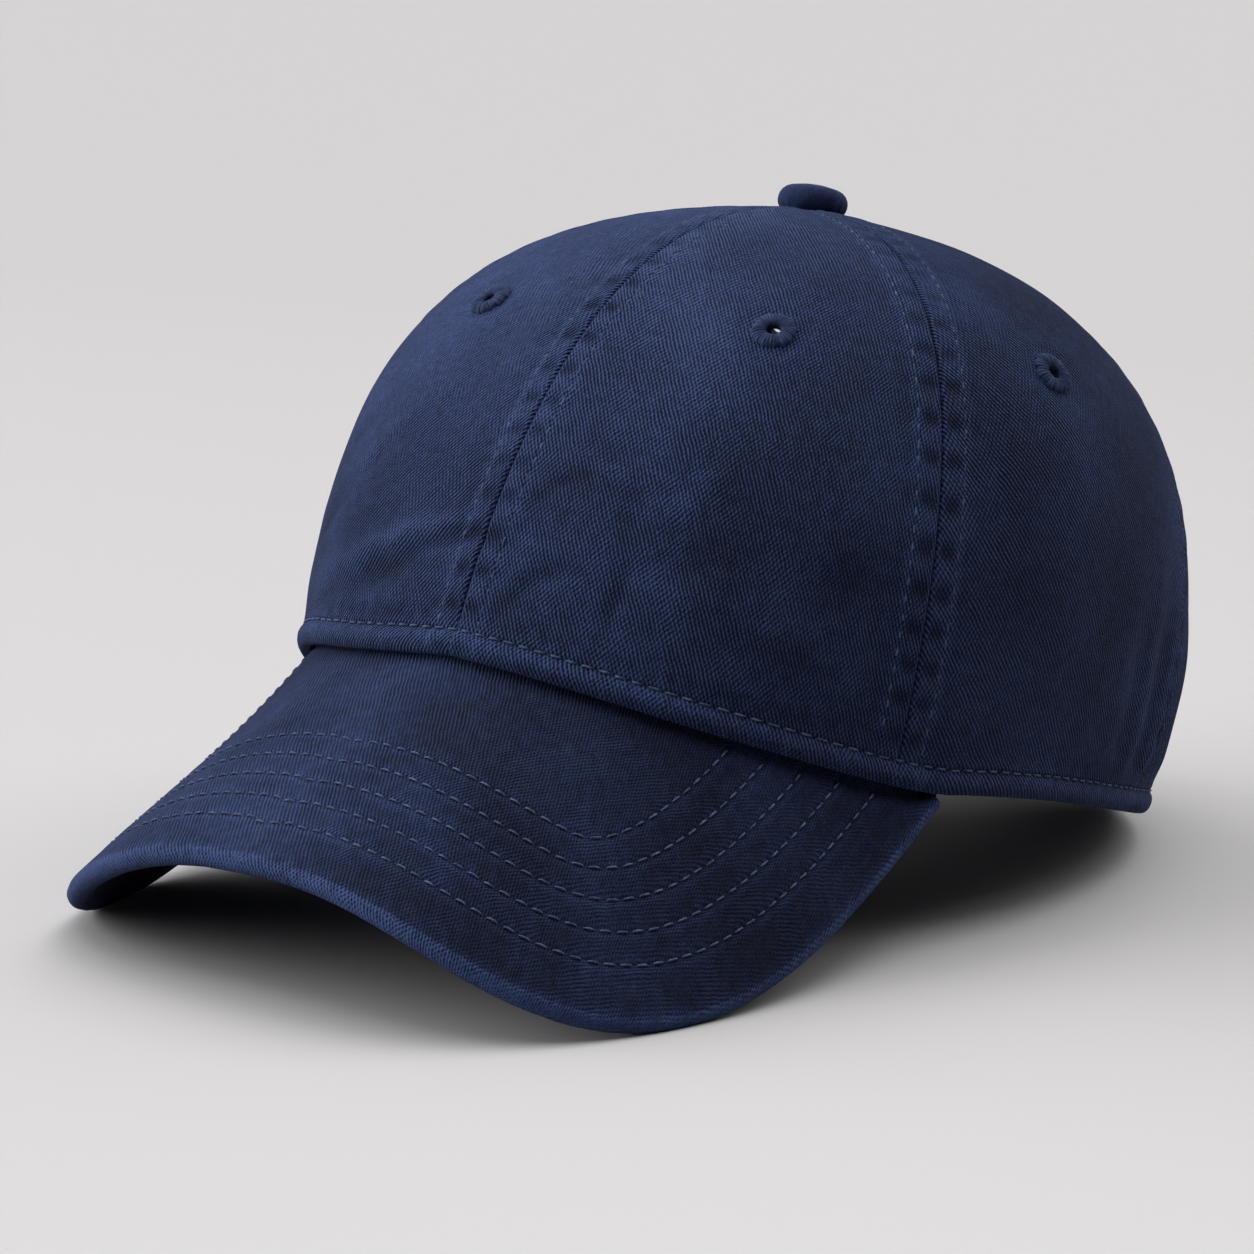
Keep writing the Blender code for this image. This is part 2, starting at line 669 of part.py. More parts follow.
strap_tab()
buckle()
settle()
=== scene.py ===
"""Washed navy twill cap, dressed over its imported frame.

Shapes are worked out in millimetres in the cap's own frame (X to the wearer's left, -Y to the visor, Z up the
crown) and placed by the frame's joint axis."""
import json
from math import cos, pi, radians, sin, tan
import bpy
import numpy as np
from mathutils import Matrix, Vector

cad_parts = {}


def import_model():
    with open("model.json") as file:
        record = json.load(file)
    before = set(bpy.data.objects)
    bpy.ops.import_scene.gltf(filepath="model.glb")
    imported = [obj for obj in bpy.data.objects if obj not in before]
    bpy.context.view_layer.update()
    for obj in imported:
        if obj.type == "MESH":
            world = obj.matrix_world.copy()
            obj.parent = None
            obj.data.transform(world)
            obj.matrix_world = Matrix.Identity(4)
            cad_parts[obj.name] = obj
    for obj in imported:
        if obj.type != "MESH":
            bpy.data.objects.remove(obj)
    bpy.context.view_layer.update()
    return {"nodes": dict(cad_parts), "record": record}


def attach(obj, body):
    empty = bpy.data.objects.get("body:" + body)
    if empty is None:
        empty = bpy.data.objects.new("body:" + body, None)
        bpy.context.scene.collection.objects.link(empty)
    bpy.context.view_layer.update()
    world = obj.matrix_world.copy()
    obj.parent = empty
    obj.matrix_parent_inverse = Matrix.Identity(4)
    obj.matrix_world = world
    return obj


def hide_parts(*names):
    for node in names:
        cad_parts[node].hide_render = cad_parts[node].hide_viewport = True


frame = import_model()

# Sizes shared with the solids
HEM_FRONT, HEM_BACK, HEM_SIDE = 98.2, 108.4, 83.8
CROWN_HEIGHT, TOP_SHIFT, TOP_SLOPE = 118.7, 0.4, tan(radians(4.8))
MERIDIANS = np.array([(-0.061, 57.0, 0.706), (0.277, 101.3, 0.644), (0.105, 42.6, 0.415)])
FRONT_SEAM, REAR_SEAM = radians(61.7), radians(111.8)
VISOR_REACH, VISOR_HALF, VISOR_POWER, VISOR_WAIST = 52.5, 81.5, 3.1, -0.043
VISOR_DROP, VISOR_CONE, VISOR_BEND = 61.9, 7.84, 2.487
VISOR_PITCH, VISOR_FRONT_Z = tan(radians(39.26)), -30.7
VISOR_END, HEM_LEVEL = radians(69.8), radians(123.2)
HEM_SAG, HEM_SWAY = 2.91, 1.26
HEM_LIFT, HEM_FLARE, HEM_EASE_AT, HEM_EASE_SPREAD = 4.1, 0.039, radians(-42.0), radians(20.0)
VISOR_TUCK, EDGE_RADIUS, EDGE_RETURN = 1.9, 2.3, 3.0
ARCH_HALF, ARCH_HEIGHT = 35.0, 46.0
TAPE_WIDTH, TAPE_FOOT = 14.0, 9.0
BAND_POCKET, BAND_END = 9.6, radians(153)
STRAP_INSET, STRAP_RADIUS, STRAP_THICK, STRAP_HALF, STRAP_MID = 4.2, 64.6, 1.2, 10.0, 16.6
STRAP_TAIL, STRAP_FIXED = radians(-43), radians(46)
STRAP_AXIS = HEM_BACK - STRAP_INSET - STRAP_RADIUS
FRONT_EDGE = -(HEM_FRONT + VISOR_REACH)
TAB_THICK, TAB_HALF, TAB_END = 0.9, 8.0, radians(-41.0)
BAR_ANGLE, BAR_ARC = radians(-20.24), 66.9
EYELET_FLANGE = 4.75
EYELETS = {"front_left": (36.6, 0.510), "front_right": (-32.0, 0.520), "side_left": (80.7, 0.430),
           "side_right": (-80.7, 0.430), "back_left": (134.6, 0.610), "back_right": (-134.6, 0.610)}

# Cloth over the solids: openings under the button and in the eyelets, ends of the tapes, the band and the tab
TOP_OPEN, EYELET_OPEN, ARCH_FROM = 3.4, 2.3, radians(140)
TAPE_TOP, BAND_LOW, BAND_HIGH, BAND_IN, BAND_THICK = 8.4, 1.2, 33.2, 2.7, 0.9
TAB_LIFT, FLOOR_GAP = 1.4, 0.0002

# Sewing: topstitch beside the seams, puckers along them, hem row, visor rows, rows on binding, strap and tab
STITCH_OUT, PUCKER_PITCH, HEM_ROW, HEM_ROW_END = 5.1, 8.1, 5.6, radians(155.5)
ROW_FIRST, ROW_STEP, ROW_COUNT = 12.6, 6.78, 5
BINDING_ROW, STRAP_ROW, TAB_ROW = 3.9, 7.6, 5.8

# Millimetres per radian round the crown: at the hem, across a panel and along the sweatband
HEM_ROUND, PANEL_ROUND, BAND_ROUND = 85.0, 92.0, 88.0

# Placing: the strap's joint gives the pitch and the shift of the cap's own frame
strap_joint = [j for j in frame["record"]["behaviour"]["joints"] if j["name"] == "strap_slide"][0]
LEAN = np.array(strap_joint["axis"], float)
TURN = np.array([[1, 0, 0], [0, LEAN[2], LEAN[1]], [0, -LEAN[1], LEAN[2]]])
SHIFT = np.array(strap_joint["pos_m"]) * 1000 - TURN @ np.array([0, STRAP_AXIS, STRAP_MID])


def world(points):
    """Cap frame in millimetres to world metres."""
    return (np.asarray(points, float) @ TURN.T + SHIFT) / 1000


CELLS = 24
LATTICE = np.random.RandomState(7).rand(CELLS, CELLS, CELLS)


def noise(points, size, seed=0):
    """Smooth value noise from -1 to 1, features about size across."""
    q = np.asarray(points, float) / size + np.array([seed * 3.71, seed * 1.37, seed * 2.93])
    base = np.floor(q).astype(int)
    f = q - base
    f = f * f * (3 - 2 * f)
    total = 0
    for dx in (0, 1):
        for dy in (0, 1):
            for dz in (0, 1):
                w = (np.abs(1 - dx - f[..., 0]) * np.abs(1 - dy - f[..., 1]) * np.abs(1 - dz - f[..., 2]))
                i, j, k = np.moveaxis((base + np.array([dx, dy, dz])) % CELLS, -1, 0)
                total = total + w * LATTICE[i, j, k]
    return 2 * total - 1


def line_noise(s, size, seed=0):
    s = np.asarray(s, float)
    return noise(np.stack([s, 0 * s + seed * 11.3, 0 * s], -1), size, seed)


def smooth(a, b, x):
    u = np.clip((x - a) / (b - a), 0, 1)
    return u * u * (3 - 2 * u)


def bell(x, centre, width):
    return np.exp(-((x - centre) / width) ** 2)


def unit(vectors):
    return vectors / np.linalg.norm(vectors, axis=-1, keepdims=True)


def run_length(points):
    """Length along a row of points, from its first."""
    return np.concatenate([[0], np.cumsum(np.linalg.norm(np.diff(points, axis=0), axis=1))])


# Crown and visor surfaces, as in the solids
def visor_height(x, y):
    back = y - FRONT_EDGE
    drop = VISOR_DROP + VISOR_CONE * back / 100
    return VISOR_FRONT_Z - drop * np.abs(x / VISOR_HALF) ** VISOR_BEND + VISOR_PITCH * back


def hem_plan(phi):
    return HEM_SIDE * np.sin(phi), -np.where(np.cos(phi) >= 0, HEM_FRONT, HEM_BACK) * np.cos(phi)


def hem_ease(phi):
    """Share of the lift and flare by which the hem is eased out on the wearer's right."""
    return bell(phi, HEM_EASE_AT, HEM_EASE_SPREAD)


def hem_height(phi):
    lift = HEM_LIFT * hem_ease(phi)
    phi = np.abs(phi)
    near = np.minimum(phi, VISOR_END)
    share = near / VISOR_END
    sag = HEM_SAG * np.sin(pi * share) ** 2
    front = visor_height(*hem_plan(near)) - sag - HEM_SWAY * np.sin(2 * pi * share)
    step = 1e-4
    high = visor_height(*hem_plan(VISOR_END))
    slope = (high - visor_height(*hem_plan(VISOR_END - step))) / step
    span = HEM_LEVEL - VISOR_END
    u = np.clip((phi - VISOR_END) / span, 0, 1)
    rest = high * (2 * u ** 3 - 3 * u ** 2 + 1) + slope * span * (u ** 3 - 2 * u ** 2 + u)
    return lift + np.where(phi <= VISOR_END, front, rest)


def meridian(phi):
    c = np.cos(phi)
    parts = np.stack([np.maximum(c, 0) ** 2, np.sin(phi) ** 2, np.maximum(-c, 0) ** 2], -1)
    return np.moveaxis(parts @ MERIDIANS, -1, 0)


def crown(phi, t):
    bulge, shoulder, width = meridian(phi)
    x, y = hem_plan(phi)
    b0, b1, b2, b3 = (1 - t) ** 3, 3 * t * (1 - t) ** 2, 3 * t * t * (1 - t), t ** 3
    s = b0 * (1 + HEM_FLARE * hem_ease(phi)) + b1 * (1 + bulge) + b2 * width
    roof = CROWN_HEIGHT - TOP_SLOPE * width * np.hypot(x, y)
    z = b0 * hem_height(phi) + b1 * shoulder + b2 * roof + b3 * CROWN_HEIGHT
    return np.stack([x * s, y * s + TOP_SHIFT * (1 - s), z], -1)


def crown_frame(phi, t):
    """Point, outward normal, unit direction up the meridian, and millimetres per radian round the crown."""
    h = 1e-3
    across = (crown(phi + h, t) - crown(phi - h, t)) / (2 * h)
    up = crown(phi, t + h) - crown(phi, t - h)
    return crown(phi, t), unit(np.cross(across, up)), unit(up), np.linalg.norm(across, axis=-1)


def place_at_height(phi, height):
    low, high = np.zeros_like(phi), np.ones_like(phi)
    base = hem_height(phi)
    for _ in range(26):
        mid = (low + high) / 2
        under = crown(phi, mid)[..., 2] - base < height
        low, high = np.where(under, mid, low), np.where(under, high, mid)
    return low


def place_at_radius(phi, radius):
    x, y = hem_plan(phi)
    return 1 - radius / (3 * meridian(phi)[2] * np.hypot(x, y))


def rear_place(x, z):
    """Angle and place on the rear of the crown at a given X and height."""
    x, z = np.asarray(x, float), np.asarray(z, float)
    low, high = np.full_like(x, pi / 2), np.full_like(x, pi)
    for _ in range(34):
        phi = (low + high) / 2
        t = place_at_height(phi, z - hem_height(phi))
        wide = crown(phi, t)[..., 0] > np.abs(x)
        low, high = np.where(wide, phi, low), np.where(wide, high, phi)
    return np.where(x >= 0, phi, -phi), t


def visor_outline(u):
    end_x, end_y = hem_plan(VISOR_END)
    angle = pi / 2 * (1 - (1 - np.abs(u)) ** (VISOR_POWER / 2)) * np.sign(u)
    x = VISOR_HALF * np.abs(np.sin(angle)) ** (2 / VISOR_POWER) * np.sign(u)
    y = end_y + (FRONT_EDGE - end_y) * np.maximum(np.cos(angle), 0) ** (2 / VISOR_POWER)
    back = (y - FRONT_EDGE) / (end_y - FRONT_EDGE)
    near = np.clip((back - 0.35 - VISOR_WAIST) / (0.65 - VISOR_WAIST), 0, 1)
    return np.stack([x * (1 - (1 - end_x / VISOR_HALF) * near ** 2), y], -1)


def visor_top(u, v):
    """Point and normal of the visor's top face, and the outward direction at its edge."""
    step = 0.002
    along = unit(visor_outline(np.minimum(u + step, 1)) - visor_outline(np.maximum(u - step, -1)))
    out = np.stack([along[..., 1], -along[..., 0]], -1)
    edge, h = visor_outline(u), 0.05
    beyond, before = edge + out * h, edge - out * h
    rise = visor_height(beyond[..., 0], beyond[..., 1]) - visor_height(before[..., 0], before[..., 1])
    slope = rise / (2 * h)
    outer = edge - out * (EDGE_RADIUS / np.sqrt(1 + slope ** 2))[..., None]
    inner = np.stack(hem_plan(u * VISOR_END), -1) * (1 + HEM_FLARE * hem_ease(u * VISOR_END))[..., None]
    inner = inner * (1 - VISOR_TUCK / np.linalg.norm(inner, axis=-1, keepdims=True))
    plan = inner + (outer - inner) * v[..., None]
    x, y = plan[..., 0], plan[..., 1]
    sink = visor_height(inner[..., 0], inner[..., 1]) - hem_height(u * VISOR_END) + 0.4
    z = visor_height(x, y) - sink * (1 - v) ** 2
    dx = (visor_height(x + h, y) - visor_height(x - h, y)) / (2 * h)
    dy = (visor_height(x, y + h) - visor_height(x, y - h)) / (2 * h)
    normal = unit(np.stack([-dx, -dy, np.ones_like(dx)], -1))
    side = np.concatenate([out, np.zeros_like(out[..., :1])], -1)
    side -= normal * (side * normal).sum(-1, keepdims=True)
    return np.stack([x, y, z], -1), normal, unit(side)


def arc(angle, radius, z):
    angle, radius, z = np.broadcast_arrays(np.asarray(angle, float), radius, z)
    return np.stack([radius * np.sin(angle), STRAP_AXIS + radius * np.cos(angle), z], -1)


# Meshes
def add_mesh(name, verts, faces, material, uv=None, wear_and_shade=None, body="cap", nodes=(), slot="twill"):
    mesh = bpy.data.meshes.new(name)
    placed = world(verts)
    placed[:, 2] = np.maximum(placed[:, 2], FLOOR_GAP)
    mesh.from_pydata(placed.tolist(), [], faces)
    mesh.polygons.foreach_set("use_smooth", np.ones(len(mesh.polygons), bool))
    corner = np.empty(len(mesh.loops), int)
    mesh.loops.foreach_get("vertex_index", corner)
    if uv is not None:
        mesh.uv_layers.new(name="weave").data.foreach_set("uv", np.asarray(uv, float)[corner].ravel())
    if wear_and_shade is not None:
        layer = mesh.attributes.new("wear_and_shade", "FLOAT", "POINT")
        layer.data.foreach_set("value", np.asarray(wear_and_shade, float).ravel())
    mesh.materials.append(material)
    obj = bpy.data.objects.new(name, mesh)
    bpy.context.scene.collection.objects.link(obj)
    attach(obj, body)
    if nodes:
        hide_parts(*nodes)


def grid_faces(ni, nj, wrap=False, skip=None):
    """Faces of an ni by nj grid of points, i over columns; wrap closes the columns."""
    i, j = np.meshgrid(np.arange(ni if wrap else ni - 1), np.arange(nj - 1), indexing="ij")
    k = (i + 1) % ni
    quads = np.stack([i * nj + j, k * nj + j, k * nj + j + 1, i * nj + j + 1], -1).reshape(-1, 4)
    if skip is not None:
        flat = skip.ravel()
        quads = quads[~flat[quads].any(1)]
    return quads.tolist()


def add_grid(name, points, material, uv=None, wear_and_shade=None, wrap=False, skip=None, flip=False, **kw):
    ni, nj = points.shape[:2]
    faces = grid_faces(ni, nj, wrap, skip)
    if flip:
        faces = [f[::-1] for f in faces]
    flat_uv = None if uv is None else uv.reshape(-1, 2)
    flat_wear_and_shade = None if wear_and_shade is None else wear_and_shade.ravel()
    add_mesh(name, points.reshape(-1, 3), faces, material, flat_uv, flat_wear_and_shade, **kw)


def stitches(name, paths, length=2.3, gap=0.75, width=0.45, lift=0.05, body="cap"):
    """Rows of thread: each stitch is a small bent capsule that dives into the cloth at both ends."""
    verts, faces = [], []
    sides = 6
    ring = np.arange(sides) / sides * 2 * pi
    shares = np.array([0.0, 0.12, 0.35, 0.65, 0.88, 1.0])
    dip = np.array([-0.25, 0.05, 0.2, 0.2, 0.05, -0.25]) + lift
    wide = np.array([0.55, 0.9, 1.0, 1.0, 0.9, 0.55])
    last = len(shares) - 1
    for seed, (points, normals) in enumerate(paths):
        s = run_length(points)
        count = int(s[-1] // (length + gap))
        if count < 1:
            continue
        pitch = s[-1] / count
        rng = np.random.RandomState(seed + 5)
        for k in range(count):
            start = k * pitch + gap / 2 + rng.uniform(-0.12, 0.12)
            at = start + (pitch - gap) * shares
            p = np.stack([np.interp(at, s, points[:, c]) for c in range(3)], -1)
            n = unit(np.stack([np.interp(at, s, normals[:, c]) for c in range(3)], -1))
            tangent = p[-1] - p[0]
            tangent /= np.linalg.norm(tangent) + 1e-9
            side = np.cross(n, tangent)
            p = p + n * dip[:, None] + side * rng.uniform(-0.08, 0.08)
            off = side[:, None] * np.cos(ring)[None, :, None]
            off = off + n[:, None] * 0.8 * np.sin(ring)[None, :, None]
            base = len(verts)
            verts.extend((p[:, None] + off * (width / 2 * wide)[:, None, None]).reshape(-1, 3).tolist())
            for row in range(base, base + last * sides, sides):
                for b in range(sides):
                    c = (b + 1) % sides
                    faces.append([row + b, row + c, row + sides + c, row + sides + b])
            faces.append([base + b for b in reversed(range(sides))])
            faces.append([base + last * sides + b for b in range(sides)])
    add_mesh(name, np.array(verts), faces, THREAD, body=body, slot="thread")


# Materials
def node_tools(material):
    material.use_nodes = True
    tree = material.node_tree
    shader = tree.nodes["Principled BSDF"]

    def add(kind, **values):
        node = tree.nodes.new(kind)
        for key, value in values.items():
            if hasattr(node, key):
                setattr(node, key, value)
            else:
                node.inputs[key].default_value = value
        return node

    def link(a, b):
        tree.links.new(a, b)

    def math(operation, a, b=None, clamp=False):
        node = add("ShaderNodeMath", operation=operation, use_clamp=clamp)
        for socket, value in zip(node.inputs, (a, b)):
            if value is None:
                continue
            if isinstance(value, (int, float)):
                socket.default_value = value
            else:
                link(value, socket)
        return node.outputs[0]

    return shader, add, link, math


def cloth(name, angle=25.0, pitch=0.81, base=(0.0232, 0.0368, 0.1035), plain=False, contrast=1.2,
          sheen=0.04, bump=0.8, fade=1.0):
    """Washed cotton: twill ribs in two directions (or a plain weave), washed-out patches, and a mesh
    attribute that lightens and darkens it for scuffed edges and for painted light and painted shade.
    """
    material = bpy.data.materials.new(name)
    shader, add, link, math = node_tools(material)
    uv = add("ShaderNodeUVMap", uv_map="weave").outputs[0]
    a = radians(angle)

    def along(x, y):
        node = add("ShaderNodeVectorMath", operation="DOT_PRODUCT")
        link(uv, node.inputs[0])
        node.inputs[1].default_value = (x, y, 0)
        return node.outputs["Value"]

    def cloud(scale, detail=2.0, rough=0.5):
        node = add("ShaderNodeTexNoise", noise_dimensions="2D", Scale=scale, Detail=detail, Roughness=rough)
        link(uv, node.inputs["Vector"])
        return node.outputs["Fac"]

    wobble = math("MULTIPLY", math("SUBTRACT", cloud(0.22), 0.5), 0.75)
    phase = math("ADD", along(cos(a) / pitch, sin(a) / pitch), wobble)
    rib = math("COSINE", math("MULTIPLY", phase, 2 * pi))
    b = a + pi / 2 if plain else a - radians(62 if angle >= 0 else -62)
    stray = math("MULTIPLY", math("SUBTRACT", cloud(0.31), 0.5), 0.8)
    cross = math("ADD", along(cos(b) / (pitch * 0.97), sin(b) / (pitch * 0.97)), stray)
    yarn = math("COSINE", math("MULTIPLY", cross, 2 * pi))
    if plain:
        weave = math("MULTIPLY", rib, yarn)
    else:
        turned = math("ADD", math("MULTIPLY", math("SUBTRACT", cloud(0.13), 0.5), 2.2), 0.34, clamp=True)
        main = math("MULTIPLY", rib, math("SUBTRACT", 0.90, math("MULTIPLY", turned, 0.55)))
        weave = math("ADD", main, math("MULTIPLY", yarn, math("ADD", math("MULTIPLY", turned, 0.42), 0.22)))
    grain = math("SUBTRACT", cloud(2.4, 3.0, 0.65), 0.5)
    height = math("ADD", weave, math("MULTIPLY", grain, 1.5))

    patch = math("SUBTRACT", cloud(0.032, 3.0, 0.55), 0.5)
    fleck = math("SUBTRACT", cloud(0.4, 3.0, 0.6), 0.5)
    # The mesh attribute read here lightens and darkens the cloth: scuffing, and also painted shade and
    # painted highlights laid on by the meshes.
    wear_and_shade_fac = add("ShaderNodeAttribute", attribute_name="wear_and_shade").outputs["Fac"]
    uneven = math("ADD", math("MULTIPLY", cloud(0.8, 2.0), 1.2), math("MULTIPLY", weave, 0.35))
    uneven_wear_and_shade = math("MULTIPLY", wear_and_shade_fac, uneven)
    tone = math("ADD", math("MULTIPLY", weave, 0.40 * contrast), math("MULTIPLY", grain, 1.0 * contrast))
    tone = math("ADD", tone, math("MULTIPLY", patch, 0.60 * fade))
    tone = math("ADD", tone, math("MULTIPLY", fleck, 0.45 * fade))
    tone = math("ADD", math("ADD", tone, math("MULTIPLY", uneven_wear_and_shade, 0.50)), 0.4, clamp=True)
    ramp = add("ShaderNodeValToRGB")
    stops = ramp.color_ramp
    stops.elements[0].position, stops.elements[1].position = 0.0, 1.0
    stops.elements[0].color = (*[c * 0.22 for c in base], 1)
    stops.elements[1].color = (base[0] * 3.3, base[1] * 3.2, base[2] * 2.9, 1)
    middle = stops.elements.new(0.4)
    middle.color = (*base, 1)
    link(tone, ramp.inputs["Fac"])
    link(ramp.outputs["Color"], shader.inputs["Base Color"])

    relief = add("ShaderNodeBump", Strength=bump, Distance=0.00030)
    link(height, relief.inputs["Height"])
    link(relief.outputs["Normal"], shader.inputs["Normal"])
    link(math("ADD", math("MULTIPLY", grain, 0.2), 0.86, clamp=True), shader.inputs["Roughness"])
    shader.inputs["Specular IOR Level"].default_value = 0.12
    shader.inputs["Sheen Weight"].default_value = sheen
    shader.inputs["Sheen Roughness"].default_value = 0.45
    shader.inputs["Sheen Tint"].default_value = (0.55, 0.62, 0.85, 1)
    return material


def thread(name, base=(0.100, 0.130, 0.235), scale=900.0):
    """Sewing thread: fine uneven twist and a slight gloss, with strand tones, painted shade and painted
    highlights where the mesh carries them.
    """
    material = bpy.data.materials.new(name)
    shader, add, link, math = node_tools(material)
    where = add("ShaderNodeTexCoord").outputs["Object"]
    twist = add("ShaderNodeTexNoise", Scale=scale, Detail=2.0)
    link(where, twist.inputs["Vector"])
    ramp = add("ShaderNodeValToRGB")
    ramp.color_ramp.elements[0].position, ramp.color_ramp.elements[1].position = 0.3, 0.75
    ramp.color_ramp.elements[0].color = (*[c * 0.45 for c in base], 1)
    ramp.color_ramp.elements[1].color = (*[c * 1.5 for c in base], 1)
    strand = add("ShaderNodeAttribute", attribute_name="wear_and_shade").outputs["Fac"]
    link(math("ADD", twist.outputs["Fac"], math("MULTIPLY", strand, 0.5)), ramp.inputs["Fac"])
    link(ramp.outputs["Color"], shader.inputs["Base Color"])
    relief = add("ShaderNodeBump", Strength=0.5, Distance=0.0001)
    link(twist.outputs["Fac"], relief.inputs["Height"])
    link(relief.outputs["Normal"], shader.inputs["Normal"])
    link(math("ADD", math("MULTIPLY", twist.outputs["Fac"], 0.3), 0.6), shader.inputs["Roughness"])
    shader.inputs["Specular IOR Level"].default_value = 0.15
    return material


def metal(name, base, rough, dark):
    """Cast or stamped metal: tarnish in patches, fine grain and uneven gloss."""
    material = bpy.data.materials.new(name)
    shader, add, link, math = node_tools(material)
    where = add("ShaderNodeTexCoord").outputs["Object"]
    patch = add("ShaderNodeTexNoise", Scale=160.0, Detail=5.0, Roughness=0.65)
    fine = add("ShaderNodeTexNoise", Scale=1400.0, Detail=2.0)
    link(where, patch.inputs["Vector"])
    link(where, fine.inputs["Vector"])
    ramp = add("ShaderNodeValToRGB")
    ramp.color_ramp.elements[0].position, ramp.color_ramp.elements[1].position = 0.35, 0.62
    ramp.color_ramp.elements[0].color = (*dark, 1)
    ramp.color_ramp.elements[1].color = (*base, 1)
    link(patch.outputs["Fac"], ramp.inputs["Fac"])
    link(ramp.outputs["Color"], shader.inputs["Base Color"])
    link(math("ADD", math("MULTIPLY", patch.outputs["Fac"], -0.3), rough + 0.18), shader.inputs["Roughness"])
    relief = add("ShaderNodeBump", Strength=0.25, Distance=0.00008)
    link(fine.outputs["Fac"], relief.inputs["Height"])
    link(relief.outputs["Normal"], shader.inputs["Normal"])
    shader.inputs["Metallic"].default_value = 1.0
    return material


TWILLS = {}
for side_name, lean in (("front", 24), ("side", 40), ("back", 32)):
    TWILLS[side_name, "left"] = cloth(f"twill_{side_name}_left", lean)
    TWILLS[side_name, "right"] = cloth(f"twill_{side_name}_right", -lean - 8)
TWILL_VISOR = cloth("twill_visor", 31, pitch=0.77, contrast=0.7)
TWILL_UNDER = cloth("twill_under", -8, base=(0.022, 0.031, 0.076))
TWILL_TRIM = cloth("twill_trim", 35, pitch=0.85)
TWILL_BUTTON = cloth("twill_button", 35, pitch=0.6, contrast=0.22, bump=0.35)
BAND_CLOTH = cloth("band_cotton", 0, pitch=1.1, base=(0.023, 0.032, 0.078), plain=True, fade=0.6)
TAPE_CLOTH = cloth("tape_cotton", 0, pitch=0.9, base=(0.028, 0.039, 0.092), plain=True, fade=0.6)
THREAD = thread("sewing_thread")
EYELET_THREAD = thread("eyelet_thread", (0.033, 0.050, 0.120))
BRASS = metal("antique_brass", (0.50, 0.36, 0.17), 0.30, (0.16, 0.105, 0.05))
STEEL = metal("button_metal", (0.62, 0.62, 0.63), 0.32, (0.35, 0.35, 0.36))


# Crown panels
def seam_relief(d, m, width, seed):
    """Lift and colour beside one seam: groove, padded allowance, puckered dents and the sunken topstitch,
    with painted shade in the groove, the dents and the sunk stitch, and lighter ridges that are partly
    scuffing, partly painted highlight.
    """
    stitch = np.minimum(STITCH_OUT, 0.25 * width)
    turns = m / PUCKER_PITCH + 0.35 * line_noise(m, 30, seed)
    dent = bell(turns, np.round(turns), 0.23)
    strength = np.clip(0.9 + 0.5 * line_noise(m, 21, seed + 3), 0.35, 1.25)
    strength = strength * (1 - 0.45 * smooth(80, 150, m))
    dent = dent * strength
    band = smooth(0.6, 1.5, d) * (1 - smooth(stitch - 1.4, stitch - 0.2, d))
    spill = smooth(stitch - 0.3, stitch + 0.8, d) * (1 - smooth(stitch + 1.2, stitch + 5.0, d))
    lift = -0.42 * bell(d, 0, 0.20)
    lift += 0.34 * smooth(0.2, 1.0, d) * (1 - smooth(stitch - 0.6, stitch + 1.6, d))
    lift -= dent * (0.30 * band + 0.12 * spill)
    lift -= (0.24 + 0.06 * np.cos(2 * pi * m / 3.4)) * bell(d, stitch, 0.5)
    # Painted shade in the seam groove, in the pucker dents and in the sunk topstitch; the lighter allowance
    # and the edges beside the stitch are partly scuffing, partly painted highlight.
    wear_and_shade = 0.45 * bell(d, 0.55, 0.3) - 0.9 * bell(d, 0, 0.15)
    wear_and_shade += 0.42 * band - dent * (1.25 * band + 0.25 * spill)
    wear_and_shade += 0.55 * bell(d, stitch + 0.7, 0.7) + 0.30 * bell(d, stitch - 0.7, 0.5)
    wear_and_shade -= 0.2 * bell(d, stitch, 0.25)
    return lift, wear_and_shade
